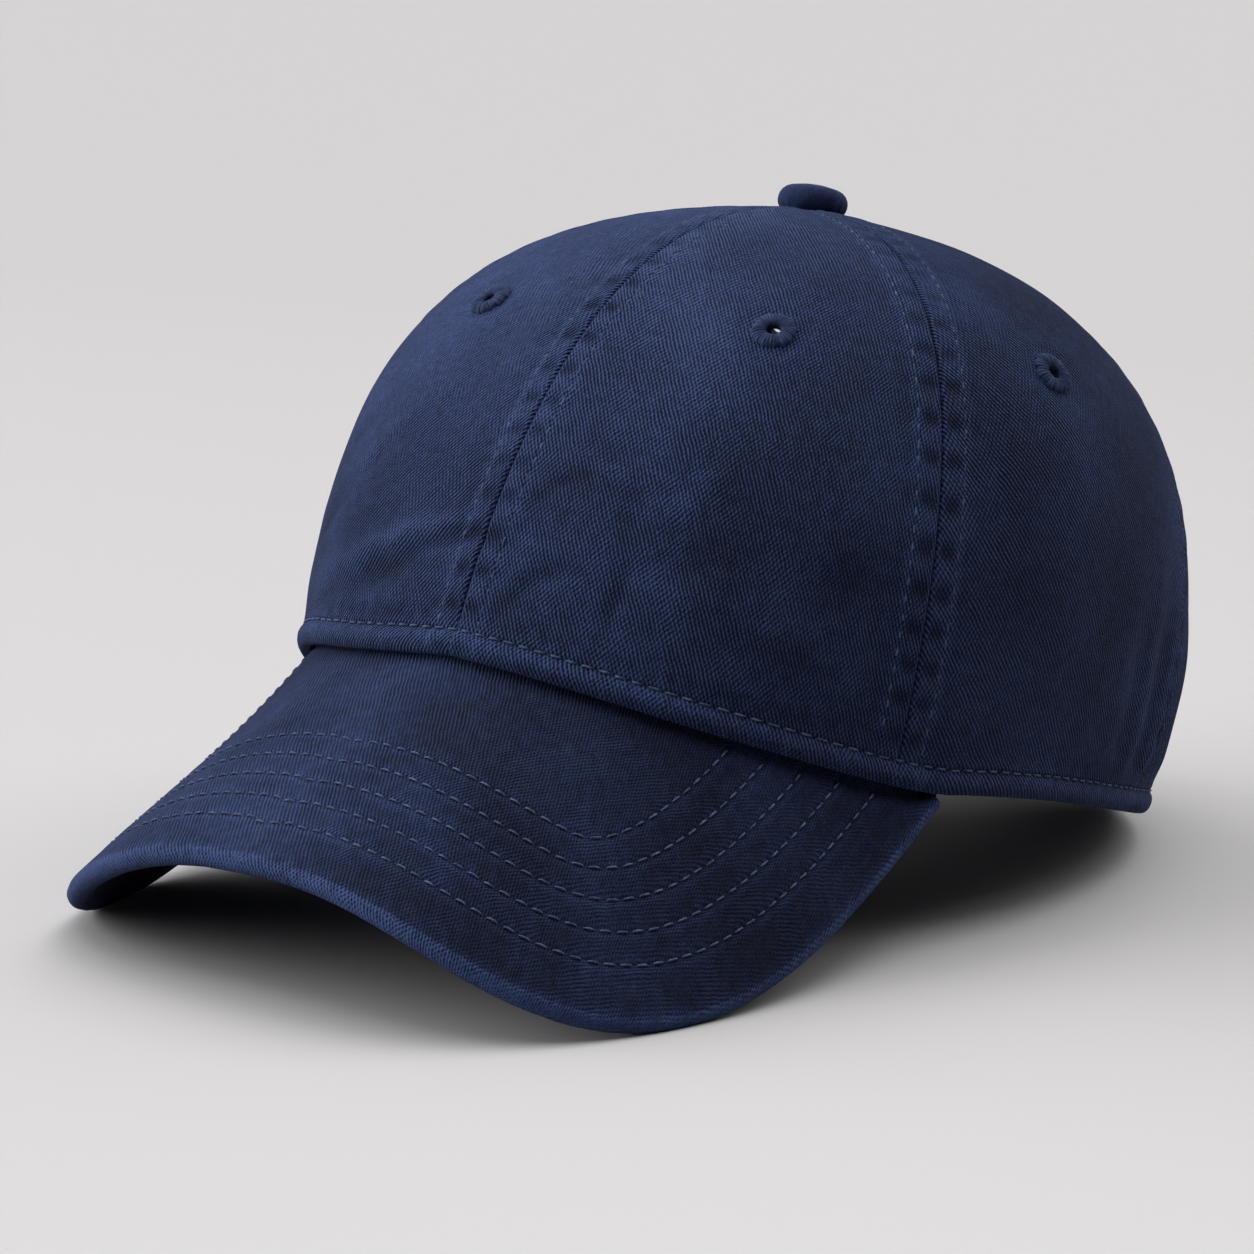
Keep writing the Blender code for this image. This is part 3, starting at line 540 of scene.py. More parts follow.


# Creases of the worn front: depth, half width, shade (painted shade where negative, painted highlight where
# positive), and the line of each as angle and height up the panel
CREASES = [
    (-0.40, 2.0, -0.50, [(6.5, 12.0), (8.5, 15.5), (10.5, 19.5), (13.5, 22.5), (16.5, 23.6)]),
    (-0.35, 1.5, -0.50, [(21.5, 12.5), (22.0, 17.0), (22.5, 21.5), (22.8, 27.0)]),
    (-0.18, 1.8, -0.22, [(22.8, 28.0), (22.0, 36.0), (21.5, 43.0)]),
    (-0.30, 1.8, -0.45, [(8.5, 40.5), (10.5, 41.0), (13.0, 41.6)]),
    (-0.25, 1.8, -0.35, [(6.8, 29.0), (7.2, 34.0), (8.5, 38.5)]),
    (-0.20, 2.2, -0.28, [(12.0, 48.6), (16.0, 48.4), (19.0, 48.0)]),
    (0.25, 2.4, 0.25, [(8.0, 46.0), (13.2, 45.0), (19.2, 45.4), (25.0, 47.0)]),
    (-0.35, 4.2, -0.42, [(29.5, 33.0), (33.0, 34.0), (36.0, 34.5)]),
    (-0.20, 3.0, -0.25, [(33.0, 43.0), (36.0, 44.5)]),
    (-0.45, 4.6, -0.42, [(48.5, 30.5), (51.0, 35.0), (53.5, 43.0)]),
    (-0.30, 3.0, -0.32, [(38.0, 16.5), (39.5, 19.0)]),
    (-0.35, 3.6, -0.35, [(44.0, 17.0), (49.5, 20.0)]),
    (-0.25, 3.0, -0.28, [(30.0, 10.5), (32.5, 13.0)]),
    (-0.25, 2.6, -0.28, [(26.5, 14.5), (29.0, 16.5)]),
    (0.25, 3.0, 0.25, [(24.5, 24.5), (29.0, 25.0), (33.5, 25.5)]),
    (0.25, 2.6, 0.25, [(26.0, 37.0), (30.0, 42.0), (33.0, 50.0)]),
    (0.50, 2.6, 0.50, [(-36.0, 13.5), (-27.0, 19.0), (-20.5, 22.5), (-15.0, 25.5), (-8.0, 27.0)]),
    (-0.50, 2.6, -0.60, [(-25.0, 12.0), (-20.0, 15.5), (-14.5, 18.0), (-10.5, 18.5)]),
    (-0.45, 2.0, -0.50, [(-14.0, 22.0), (-8.0, 23.0), (-2.0, 24.0), (5.0, 24.5)]),
    (-0.30, 2.2, -0.40, [(-33.0, 8.5), (-31.0, 12.0), (-29.0, 14.0)]),
    (-0.45, 3.2, -0.50, [(-44.0, 22.0), (-40.0, 26.0), (-35.0, 31.0)]),
    (-0.25, 2.2, -0.30, [(-40.0, 42.0), (-37.0, 50.0), (-34.0, 56.0)]),
    (0.25, 2.6, 0.25, [(-36.0, 36.0), (-30.0, 44.0), (-26.0, 52.0)]),
    (-0.20, 2.0, -0.25, [(-31.0, 38.0), (-28.0, 45.0), (-25.0, 50.0)]),
]


def creased(phi, m, per, p):
    """Lift and colour of the creases, painted shade in the folds and painted highlight on the ridges; each
    wavers a little and fades toward its ends.
    """
    lift, wear_and_shade = np.zeros_like(m), np.zeros_like(m)
    x = phi * per + 1.3 * noise(p, 8, 21)
    h = m + 1.3 * noise(p, 8, 22)
    for depth, half, shade, line in CREASES:
        best, where = np.full_like(m, 1e9), np.zeros_like(m)
        for k, ((a0, h0), (a1, h1)) in enumerate(zip(line, line[1:])):
            x0, x1 = radians(a0) * per, radians(a1) * per
            dx, dh = x1 - x0, h1 - h0
            u = np.clip(((x - x0) * dx + (h - h0) * dh) / (dx * dx + dh * dh), 0, 1)
            away = np.hypot(x - x0 - u * dx, h - h0 - u * dh)
            where = np.where(away < best, (k + u) / (len(line) - 1), where)
            best = np.minimum(best, away)
        fade = 0.45 + 0.55 * np.sin(pi * where)
        core = bell(best, 0, half)
        lift += fade * depth * (core - 0.25 * bell(best, 2.2 * half, half))
        # Painted shade in the folds and painted highlight on the ridges.
        wear_and_shade += fade * shade * (core - 0.20 * bell(best, 2.0 * half, half))
    return lift, wear_and_shade


# Rolled hem: height up the panel and lift off it, from inside the hem to the stitch above the roll
ROLL = np.array([(4.0, -1.9), (1.5, -2.0), (0.4, -1.8), (0.0, -1.2), (0.05, -0.5), (0.35, 0.1), (0.85, 0.6),
                 (1.5, 0.95), (2.3, 1.15), (3.1, 1.15), (3.9, 0.98), (4.6, 0.62), (5.1, 0.15),
                 (5.45, -0.30), (5.75, -0.32), (6.1, -0.05), (6.6, 0.05)])


def panel(name, low, high, material, seam_seeds, hole):
    """One crown panel between two seams, with its rolled hem, and the topstitch paths beside its seams."""
    width = (high - low) * PANEL_ROUND
    margin = 14
    near = np.concatenate([[0, 0.12, 0.28, 0.5, 0.8], np.arange(1.2, margin, 0.55)])
    middle = np.linspace(margin, width - margin, int((width - 2 * margin) / 1.15))
    f = np.concatenate([near, middle, width - near[::-1]]) / width
    rows = 170
    foot = len(ROLL)
    middle_phi = low + (high - low) * f
    ni, nj = len(f), foot + rows
    phi = np.repeat(middle_phi[:, None], nj, 1)
    t = np.zeros((ni, nj))
    base_t = place_at_height(middle_phi, ROLL[-1, 0])
    top_t = place_at_radius(middle_phi, TOP_OPEN)
    u = np.arange(1, rows + 1) / rows
    t[:, foot:] = base_t[:, None] + (top_t - base_t)[:, None] * u[None]
    for j, (height, _) in enumerate(ROLL):
        t[:, j] = place_at_height(middle_phi, max(height, 0.02))
    p, n, _, per = crown_frame(phi, np.clip(t, 2e-3, 0.997))
    step = np.linalg.norm(np.diff(p[:, foot - 1:], axis=1), axis=2)
    m = np.zeros((ni, nj))
    m[:, :foot] = ROLL[:, 0]
    m[:, foot:] = ROLL[-1, 0] + np.cumsum(step, axis=1)

    # Seams, creases and the loose cloth between them
    width_here = (high - low) * per
    d_low, d_high = (phi - low) * per, (high - phi) * per
    above = smooth(ROLL[-1, 0] - 0.5, ROLL[-1, 0] + 3.0, m)
    lift, wear_and_shade = np.zeros((ni, nj)), np.zeros((ni, nj))
    for d, seed in ((d_low, seam_seeds[0]), (d_high, seam_seeds[1])):
        rise, rub = seam_relief(d, m, width_here, seed)
        lift += rise * np.where(np.arange(nj) < foot, 0.45, 1)[None] * (0.35 + 0.65 * above)
        wear_and_shade += rub
    rise, rub = creased(phi, m, per, p)
    lift += rise * above
    wear_and_shade += rub * above
    open_cloth = smooth(8, 22, np.minimum(d_low, d_high))
    lift += above * open_cloth * (0.9 * noise(p, 34, 2) + 0.40 * noise(p, 15, 5))

    # Ticks above the hem with painted shade in them, gathers at the rear lighter on their crests, the roll
    # with a painted highlight, and broad painted light on the front and painted shade on the wearer's left
    # side
    run = phi * HEM_ROUND
    ticks = run / 4.3 + 0.5 * line_noise(run, 14, 9)
    tick = bell(ticks, np.round(ticks), 0.2) * np.clip(0.6 + 0.7 * line_noise(run, 22, 4), 0.1, 1.2)
    lift -= 0.22 * tick * bell(m, 8.0, 1.9)
    # Painted shade in the small pucker dents above the hem.
    wear_and_shade -= 0.55 * tick * bell(m, 7.8, 1.5)
    turned = np.abs(phi)
    rear = smooth(radians(92), radians(104), turned) * (1 - smooth(radians(140), radians(160), turned))
    fold = np.sin(2 * pi * run / 9.5 + 2 * line_noise(run, 30, 6) + 0.02 * m)
    lift += 0.75 * rear * fold * smooth(6, 14, m) * (1 - smooth(25, 62, m))
    wear_and_shade += 0.3 * rear * np.clip(fold, 0, 1) * smooth(4, 14, m) * (1 - smooth(25, 60, m))
    lift[:, :foot] += ROLL[:, 1][None]
    roll_wave = 0.10 * np.sin(2 * pi * run / 3.1) * bell(m, 4.6, 1.2)
    lift[:, :foot] += roll_wave[:, :foot]
    # Painted highlight along the crest of the roll; just above the hem stitch a lighter line, partly scuffing
    # and partly painted highlight.
    wear_and_shade[:, :foot] += 0.65 * bell(ROLL[:, 0], 3.6, 1.6)[None] * (ROLL[:, 1] > -0.2)[None]
    wear_and_shade += 0.3 * bell(m, 6.6, 0.8)
    # Painted light: the upper front and the wearer's right front panel, which face the lamps, are painted
    # lighter.
    painted_light_patch = smooth(25, 60, m) * bell(phi, radians(-32), radians(30))
    wear_and_shade += 0.30 * smooth(45, 80, m) * bell(phi, 0, radians(55)) + 0.80 * painted_light_patch
    # Painted shade on the wearer's left side, which faces away from the lamps.
    wear_and_shade -= 0.26 * bell(phi, radians(82), radians(22))

    # Eyelet and arch
    points = p + n * lift[..., None]
    eye_phi, eye_t = EYELETS[hole]
    eye, _, _, _ = crown_frame(np.array(radians(eye_phi)), np.array(eye_t))
    away = np.linalg.norm(p - eye, axis=-1)
    points -= n * (0.35 * bell(away, 5.6, 1.6))[..., None]
    uv = np.stack([(phi - (low + high) / 2) * per, m], -1)
    skip = away < EYELET_OPEN
    in_arch = (p[..., 0] / ARCH_HALF) ** 2 + (p[..., 2] / ARCH_HEIGHT) ** 2 < 1.0
    skip |= (turned > ARCH_FROM) & in_arch
    add_grid("cloth_" + name, points, material, uv, np.clip(wear_and_shade, -1.1, 1.4), skip=skip, nodes=[name])

    # Topstitch beside both seams; beside the back seam it starts above the arch
    for side, limit in ((1, low), (-1, high)):
        lowest = 7.5 if abs(limit) < pi else ARCH_HEIGHT + 6
        mm = np.linspace(lowest, m[0, -1] - 9, 220)
        mid_t = np.interp(mm, m[ni // 2], t[ni // 2])
        ph = np.full_like(mid_t, limit)
        for _ in range(3):
            _, _, _, pr = crown_frame(ph, mid_t)
            ph = limit + side * np.minimum(STITCH_OUT, 0.25 * (high - low) * pr) / pr
        sp, sn, _, _ = crown_frame(ph, mid_t)
        SEAM_PATHS.append((sp - sn * 0.30, sn))


SEAM_PATHS = []
order = [("front", 0.0, FRONT_SEAM), ("side", FRONT_SEAM, REAR_SEAM), ("back", REAR_SEAM, pi)]
for hand, sign in (("left", 1), ("right", -1)):
    for k, (place, near_seam, far_seam) in enumerate(order):
        a, b = sorted((sign * near_seam, sign * far_seam))
        seeds = (k, k + 1) if sign > 0 else (k + 7 if k < 2 else 3, k + 6 if k else 0)
        panel(f"{place}_panel_{hand}", a, b, TWILLS[place, hand], seeds, f"{place}_{hand}")
stitches("seam_stitching", SEAM_PATHS, length=2.5, gap=0.95, width=0.42, lift=0.16)

hem_phi = np.linspace(-HEM_ROW_END, HEM_ROW_END, 900)
hem_p, hem_n, _, _ = crown_frame(hem_phi, place_at_height(hem_phi, HEM_ROW))
stitches("hem_stitching", [(hem_p - hem_n * 0.32, hem_n)], length=2.4, gap=1.05, width=0.5, lift=0.2)


# Visor
def visor():
    nu, nv, turns = 300, 110, 14
    s = np.linspace(-1, 1, nu)
    u = 0.985 * np.sign(s) * (1 - (1 - np.abs(s)) ** 1.15)
    uu, vv = np.meshgrid(u, np.linspace(0, 1, nv), indexing="ij")
    p, n, side = visor_top(uu, vv)
    edge = p[:, -1]
    flat = p.reshape(-1, 3)
    away = np.empty(len(flat))
    chunk = 4000
    for k in range(0, len(flat), chunk):
        away[k:k + chunk] = np.linalg.norm(flat[k:k + chunk, None] - edge[None, ::2], axis=2).min(1)
    away = away.reshape(nu, nv) + EDGE_RADIUS
    rows = ROW_FIRST + ROW_STEP * np.arange(ROW_COUNT)
    lift = 0.18 * noise(p, 28, 3) * smooth(0, 10, away)
    groove = sum(bell(away, r, 0.7) for r in rows)
    quilt = smooth(9, 12, away) * (1 - smooth(39, 43, away))
    lift += 0.16 * quilt * np.abs(np.sin(pi * (away - rows[0]) / ROW_STEP)) - 0.26 * groove
    # Painted highlight on the cloth puffed beside each stitch row, stronger on the side toward the edge.
    wear_and_shade = 0.4 * sum(bell(away, r - 1.1, 0.6) + 0.7 * bell(away, r + 1.1, 0.6) for r in rows)
    # Along the front edge a lighter band, partly scuffing and partly painted highlight; across the visor
    # painted shade, darker toward the wearer's left, away from the lamps.
    wear_and_shade += 0.75 * (1 - smooth(2.0, 4.2, away)) - 0.75 * smooth(0, 45, p[..., 0])
    top = p + n * lift[..., None]
    angle = np.linspace(0, pi, turns + 1)[1:]
    en, es = n[:, -1], side[:, -1]
    roll_lift = 0.12 * noise(edge, 7, 8)[:, None] + 0.08 * noise(edge, 2.5, 4)[:, None]
    r = EDGE_RADIUS + roll_lift
    bend = edge[:, None] + en[:, None] * (r[..., None] * (np.cos(angle)[None, :, None]) - EDGE_RADIUS)
    bend = bend + es[:, None] * (r * np.sin(angle)[None])[..., None]
    back = np.linspace(0.6, EDGE_RETURN + 0.3, 5)
    under = edge[:, None] - en[:, None] * (2 * EDGE_RADIUS) - es[:, None] * back[None, :, None]
    under = under + en[:, None] * (0.5 * smooth(2.0, 3.3, back))[None, :, None]
    inward = unit(-p[:, 0] * np.array([1, 1, 0]))
    tuck = np.array([(2.6, 6.5), (2.4, 4.5), (2.0, 2.6), (1.2, 1.1)])
    inside = p[:, :1] + inward[:, None] * tuck[None, :, :1] + np.array([0, 0, 1]) * tuck[None, :, 1:]
    points = np.concatenate([inside, top, bend, under], 1)
    # The rolled front edge is lighter round its crest, partly scuffing and partly painted highlight.
    roll_wear_and_highlight = 2.6 * bell(angle, 0.95, 0.85)[None] * (0.9 + 0.45 * noise(edge, 12, 6)[:, None])
    wear_and_shade = np.concatenate([np.zeros((nu, len(tuck))), wear_and_shade, roll_wear_and_highlight, np.full((nu, len(back)), 0.15)], 1)
    wide = np.linspace(0, 95, 400)
    slope = (VISOR_DROP + 2.0) * VISOR_BEND / VISOR_HALF * (wide / VISOR_HALF) ** (VISOR_BEND - 1)
    flat_wide = np.concatenate([[0], np.cumsum(np.hypot(1, (slope[1:] + slope[:-1]) / 2) * np.diff(wide))])

    def flat_cut(q):
        x = np.interp(np.abs(q[..., 0]), wide, flat_wide) * np.sign(q[..., 0])
        return np.stack([x, (q[..., 1] - FRONT_EDGE) / cos(radians(36))], -1)

    uv = flat_cut(points)
    away_flat = unit(flat_cut(edge + es) - flat_cut(edge))
    run = np.concatenate([EDGE_RADIUS * angle, EDGE_RADIUS * pi + back])
    uv[:, len(tuck) + nv:] = flat_cut(edge)[:, None] + away_flat[:, None] * run[None, :, None]
    wear_and_shade = np.clip(wear_and_shade, -0.75, 3.0)
    add_grid("cloth_visor_top", points, TWILL_VISOR, uv, wear_and_shade, flip=True, nodes=["visor_top_cloth"])

    paths, under_paths = [], []
    for r in rows:
        line, line_n = [], []
        for i in range(nu):
            if away[i, 0] < r + 0.4:
                continue
            at = np.interp(-r, -away[i], np.arange(nv))
            k = min(int(at), nv - 2)
            w = at - k
            line.append(p[i, k] * (1 - w) + p[i, k + 1] * w)
            line_n.append(n[i, k])
        line, line_n = np.array(line), np.array(line_n)
        paths.append((line - line_n * 0.30, line_n))
        under_paths.append((line - line_n * 4.62, -line_n))
    stitches("visor_stitching", paths, length=2.4, gap=1.0, width=0.46, lift=0.2)
    stitches("visor_under_stitching", under_paths, gap=0.9, lift=0.1)

    lower = p - n * (2 * EDGE_RADIUS - 0.25)
    keep = away > EDGE_RADIUS + EDGE_RETURN - 0.8
    sag = 0.12 * noise(p, 25, 11) - 0.25 * groove
    lower = lower - n * sag[..., None]
    uv = flat_cut(p)
    add_grid("cloth_visor_under", lower, TWILL_UNDER, uv, 0.3 * groove, skip=~keep,
             nodes=["visor_under_cloth"])


visor()


# Eyelets: satin stitches laid radially round an open hole
def eyelet(name):
    phi, t = EYELETS[name]
    centre, normal, up, _ = (np.asarray(v) for v in crown_frame(np.array(radians(phi)), np.array(t)))
    side = np.cross(up, normal)
    count, each = 34, 6
    ni = count * each
    angle = np.arange(ni) / ni * 2 * pi
    cell = np.arange(ni) // each
    within = (np.arange(ni) % each + 0.5) / each
    rng = np.random.RandomState(len(name) + int(t * 1000))
    reach = 4.65 + rng.uniform(-0.28, 0.2, count)[cell]
    tall = 0.60 + rng.uniform(-0.10, 0.10, count)[cell]
    strand = np.sqrt(np.clip(1 - (2 * within - 1) ** 2, 0, 1))
    profile = np.array([(-1.6, 1.75), (-0.5, 1.5), (0.2, 1.55), (0.65, 1.85), (0.95, 2.5), (1.0, 3.2),
                        (0.85, 3.9), (0.5, 4.45), (0.05, EYELET_FLANGE), (-0.6, 4.85)])
    lift = profile[None, :, 0] * tall[:, None]
    ridge = np.array([0.1, 0.3, 0.6, 0.9, 1, 1, 1, 0.9, 0.6, 0.1])[None]
    lift = lift + 0.42 * (strand[:, None] - 0.6) * ridge
    out = profile[None, :, 1]
    radius = np.where(out > 3.5, out * (reach / EYELET_FLANGE)[:, None], out)
    direction = side[None] * np.cos(angle)[:, None] + up[None] * np.sin(angle)[:, None]
    curve = -(radius ** 2) / 150
    points = centre + direction[:, None] * radius[..., None] + normal * (lift + curve)[..., None]
    inner = points[:, ::-1] - normal * (2 * (lift[:, ::-1] + curve[:, ::-1]) + 1.2)[..., None]
    both = np.concatenate([inner, points], 1)
    # Random tone per stitch, with painted shade between the strands and painted highlight along their crests.
    tone = rng.uniform(-0.2, 0.35, count)[cell] + 1.1 * (strand - 0.7)
    wear_and_shade = np.repeat(tone[:, None], both.shape[1], 1)
    add_grid("stitched_eyelet_" + name, both, EYELET_THREAD, wear_and_shade=wear_and_shade, wrap=True, nodes=["eyelet_" + name],
             slot="thread")


for eye_name in EYELETS:
    eyelet(eye_name)


# Button
def button():
    ni = 120
    a = np.arange(ni) / ni * 2 * pi
    profile = np.array([(4.2, -0.8), (5.6, -0.9), (6.7, -0.5), (7.25, 0.25), (7.52, 1.1), (7.58, 2.0),
                        (7.4, 2.9), (6.95, 3.75), (6.2, 4.45), (5.2, 4.92), (4.0, 5.18), (2.6, 5.30),
                        (1.2, 5.35), (0.02, 5.35)])
    r = np.repeat(profile[None, :, 0], ni, 0)
    z = np.repeat(profile[None, :, 1], ni, 0)
    ring = np.stack([np.cos(a), np.sin(a), 0 * a], -1)
    pleat = np.sin(a * 14 + 2 * np.sin(3 * a))[:, None] * smooth(2.7, 0.0, z) * 0.16
    dent = 0.16 * noise(ring[:, None] * r[..., None] + np.array([0, 0, 1]) * z[..., None], 4.5, 3)
    r = r * (1 + (pleat + dent) / 9)
    z = z + 0.35 * dent - 0.10 * bell(r, 0, 3.0)
    points = np.stack([r * np.cos(a)[:, None], r * np.sin(a)[:, None] + TOP_SHIFT, z + CROWN_HEIGHT], -1)
    uv = np.stack([points[..., 0], points[..., 1] + (7 - z)], -1)
    wear_and_shade = 0.65 * bell(z, 5.2, 0.8) + 0.15 * bell(z, 0.1, 0.5)
    add_grid("cloth_button_cover", points, TWILL_BUTTON, uv, wear_and_shade, wrap=True, nodes=["button_cover"])


button()


# Inside: sweatband and seam tapes
def sweatband():
    nu, nv = 420, 22
    phi = np.linspace(-BAND_END, BAND_END, nu)
    h = np.linspace(BAND_LOW, BAND_HIGH, nv)
    t = np.stack([place_at_height(phi, x) for x in h], 1)
    pp = np.repeat(phi[:, None], nv, 1)
    p, n, _, _ = crown_frame(pp, t)
    start, full = REAR_SEAM + radians(6), REAR_SEAM + radians(24)
    ease = smooth(start, full, np.abs(pp))
    around = pp * HEM_ROUND
    wave = np.sin(around * 2 * pi / 14 + 2 * line_noise(around, 30, 2))
    depth = BAND_IN + (BAND_POCKET - BAND_IN) * ease + 0.25 * wave
    body = p - n * depth[..., None]
    inner = body[:, ::-1] - n[:, ::-1] * BAND_THICK
    edge = np.array([0, 0, 0.25])
    lip = (body[:, -1:] + inner[:, :1]) / 2 + edge
    foot = (body[:, :1] + inner[:, -1:]) / 2 - edge
    both = np.concatenate([body, lip, inner, foot, body[:, :1]], 1)
    run = np.broadcast_to((phi * BAND_ROUND)[:, None], both.shape[:2])
    uv = np.stack([run, np.broadcast_to(np.arange(both.shape[1])[None] * 1.5, run.shape)], -1)
    wear_and_shade = np.full(run.shape, 0.2)
    add_grid("cloth_sweatband", both, BAND_CLOTH, uv, wear_and_shade, nodes=["sweatband"], slot="band")
    rows = [(inner[:, nv - 1 - k], -n[:, k]) for k in (2, nv - 3)]
    stitches("sweatband_stitching", rows, length=2.6, gap=0.9, width=0.5)


def seam_tape(name, phi, foot):
    nu, nv = 17, 150
    low = place_at_height(np.array(phi), foot)
    high = place_at_radius(np.array(phi), TAPE_TOP)
    t = low + (high - low) * np.linspace(0, 1, nv)
    tt = np.repeat(t[None], nu, 0)
    base = np.full((nu, nv), phi)
    _, _, _, per = crown_frame(base, tt)
    width = np.minimum(TAPE_WIDTH, 0.7 * per)
    share = np.linspace(-0.5, 0.5, nu)[:, None]
    p, n, _, _ = crown_frame(base + share * width / per, tt)
    m = run_length(p[nu // 2])
    puff = 0.22 * np.sin(2 * pi * m / 8.5 + 2 * line_noise(m, 30, 5))[None] * bell(np.abs(share), 0.36, 0.14)
    depth = 1.55 + 0.35 * bell(share, 0, 0.2) - puff
    body = p - n * depth[..., None]
    uv = np.stack([share * width, np.broadcast_to(m[None], (nu, nv))], -1)
    wear_and_shade = np.full((nu, nv), 0.15)
    add_grid("cloth_" + name, body, TAPE_CLOTH, uv, wear_and_shade, flip=True, nodes=[name], slot="tape")
    for edge in (2, nu - 3):
        TAPE_PATHS.append((body[edge] - n[edge] * 0.02, -n[edge]))


TAPE_PATHS = []
sweatband()
for hand, sign in (("left", 1), ("right", -1)):
    seam_tape(f"seam_tape_front_{hand}", sign * FRONT_SEAM, TAPE_FOOT)
    seam_tape(f"seam_tape_rear_{hand}", sign * REAR_SEAM, TAPE_FOOT)
seam_tape("seam_tape_front", 0.0, TAPE_FOOT)
seam_tape("seam_tape_back", pi, ARCH_HEIGHT + 8.0)
stitches("tape_stitching", TAPE_PATHS, length=2.6, gap=0.9, width=0.4, lift=0.02)


# Back: bound arch, strap, tab and buckle
def arch_binding():
    """Folded tape round the edge of the arch, with a row of stitches through both legs."""
    a = np.linspace(radians(1.5), pi - radians(1.5), 190)
    x, z = ARCH_HALF * np.cos(a), ARCH_HEIGHT * np.sin(a)
    phi, t = rear_place(x, z)
    p, n, _, _ = crown_frame(phi, np.clip(t, 2e-3, 1))
    away = np.cross(unit(np.gradient(p, axis=0)), n)
    away *= np.sign((away * (p - np.array([0, HEM_BACK, 14]))).sum(1, keepdims=True))
    profile = np.array([(5.1, 0.05), (4.95, 0.45), (4.4, 0.66), (3.9, 0.55), (3.4, 0.72), (2.2, 0.85),
                        (1.0, 0.85), (0.1, 0.7), (-0.5, 0.3), (-0.85, -0.3), (-0.85, -0.9), (-0.5, -1.5),
                        (0.1, -1.85), (1.0, -2.0), (2.2, -2.0), (3.4, -1.9), (3.9, -1.75), (4.4, -1.85),
                        (4.95, -1.65), (5.1, -1.2)])
    proud = 1.25 * (1 - smooth(4.5, 7.5, z))[:, None] * (profile[:, 1] > 0)[None]
    length = run_length(p)
    wave = np.sin(2 * pi * length / 4.6 + 2 * line_noise(length, 20, 3))
    ripple = 0.10 * wave[:, None] * bell(profile[:, 0], BINDING_ROW, 1.4)[None]
    off = profile[None, :, 1] + proud + ripple * np.sign(profile[:, 1])[None]
    points = p[:, None] + away[:, None] * profile[None, :, :1] + n[:, None] * off[..., None]
    uv = np.stack(np.broadcast_arrays(length[:, None], run_length(profile)[None]), -1)
    wear_and_shade = 0.15 + 0.6 * bell(profile[:, 0], -0.8, 0.7) + 0.2 * bell(profile[:, 0], 4.6, 0.5)
    add_grid("cloth_arch_binding", points, TWILL_TRIM, uv, np.broadcast_to(wear_and_shade[None], points.shape[:2]),
             nodes=["arch_binding"])
    row = p + away * BINDING_ROW
    stitches("binding_stitching", [(row + n * (0.5 + proud[:, :1]), n), (row - n * 1.72, -n)])


def ribbon(name, angles, half, outer, thick, body, node, stitch_at):
    """Folded strip of twill on an arc: rounded edges and sunken stitch rows along both edges."""
    face = np.linspace(-1, 1, 27)
    turn_angle = np.linspace(0, pi, 6)[1:-1]
    r0 = thick / 2
    ni = len(angles)
    length = angles * outer
    points, uvs, wears = [], [], []
    for k in range(ni):
        h = half[k]
        z = face * max(h - r0, 0.05)
        sunk = -0.22 * bell(np.abs(z), stitch_at, 0.55) * (h > stitch_at + 0.5)
        ripple = 0.05 * np.sin(length[k] * 2 * pi / 5.3) * bell(np.abs(z), stitch_at + 1, 1.0)
        puff = 0.10 * (1 - (z / max(h, 0.1)) ** 2) + ripple
        top = np.stack([outer + sunk + puff * 0.6, z], -1)
        right = np.stack([outer - r0 + r0 * np.cos(turn_angle), z[-1] + r0 * np.sin(turn_angle)], -1)
        low = np.stack([outer - thick + 0 * z, z[::-1]], -1)
        left = np.stack([outer - r0 - r0 * np.cos(turn_angle), z[0] - r0 * np.sin(turn_angle)], -1)
        ring = np.concatenate([top, right, low, left])
        points.append(arc(angles[k], ring[:, 0], STRAP_MID + ring[:, 1]))
        uvs.append(np.stack([np.full(len(ring), length[k]), run_length(ring)], -1))
        by_stitch, edge = 0.3 * bell(np.abs(z), stitch_at - 1, 0.6), np.full(len(turn_angle), 0.8)
        wears.append(np.concatenate([by_stitch, edge, 0.1 + 0 * z, edge]))
    points, uvs, wears = np.array(points), np.array(uvs), np.array(wears)
    nj = points.shape[1]
    points = np.transpose(points, (1, 0, 2))
    uvs, wears = np.transpose(uvs, (1, 0, 2)), wears.T
    faces = [f[::-1] for f in grid_faces(nj, ni, wrap=True)]
    faces += [[j * ni for j in range(nj)], [j * ni + ni - 1 for j in range(nj)][::-1]]
    add_mesh(name, points.reshape(-1, 3), faces, TWILL_TRIM, uvs.reshape(-1, 2), wears.ravel(), body=body,
             nodes=[node])


def arc_rows(angles, outer, apart):
    """Two stitch paths along an arc, one to each side of its middle."""
    outward = arc(angles, 1.0, 0.0) - np.array([0, STRAP_AXIS, 0])
    return [(arc(angles, outer - 0.2, STRAP_MID + side * apart), outward) for side in (-1, 1)]


def strap():
    taper, power = radians(7), 2.6
    rounded = STRAP_TAIL + taper * (1 - np.cos(np.linspace(0, pi / 2, 24)))
    angles = np.concatenate([rounded, np.linspace(STRAP_TAIL + radians(7.4), STRAP_FIXED, 130)])
    s = np.clip((STRAP_TAIL + taper - angles) / taper, 0, 1)
    half = np.maximum(STRAP_HALF * np.maximum(1 - s ** power, 0) ** (1 / power), 0.8)
    ribbon("cloth_strap", angles, half, STRAP_RADIUS, STRAP_THICK, "strap", "strap", STRAP_ROW)
    span = np.linspace(STRAP_TAIL + radians(3.2), STRAP_FIXED, 160)
    stitches("strap_stitching", arc_rows(span, STRAP_RADIUS, STRAP_ROW), body="strap")


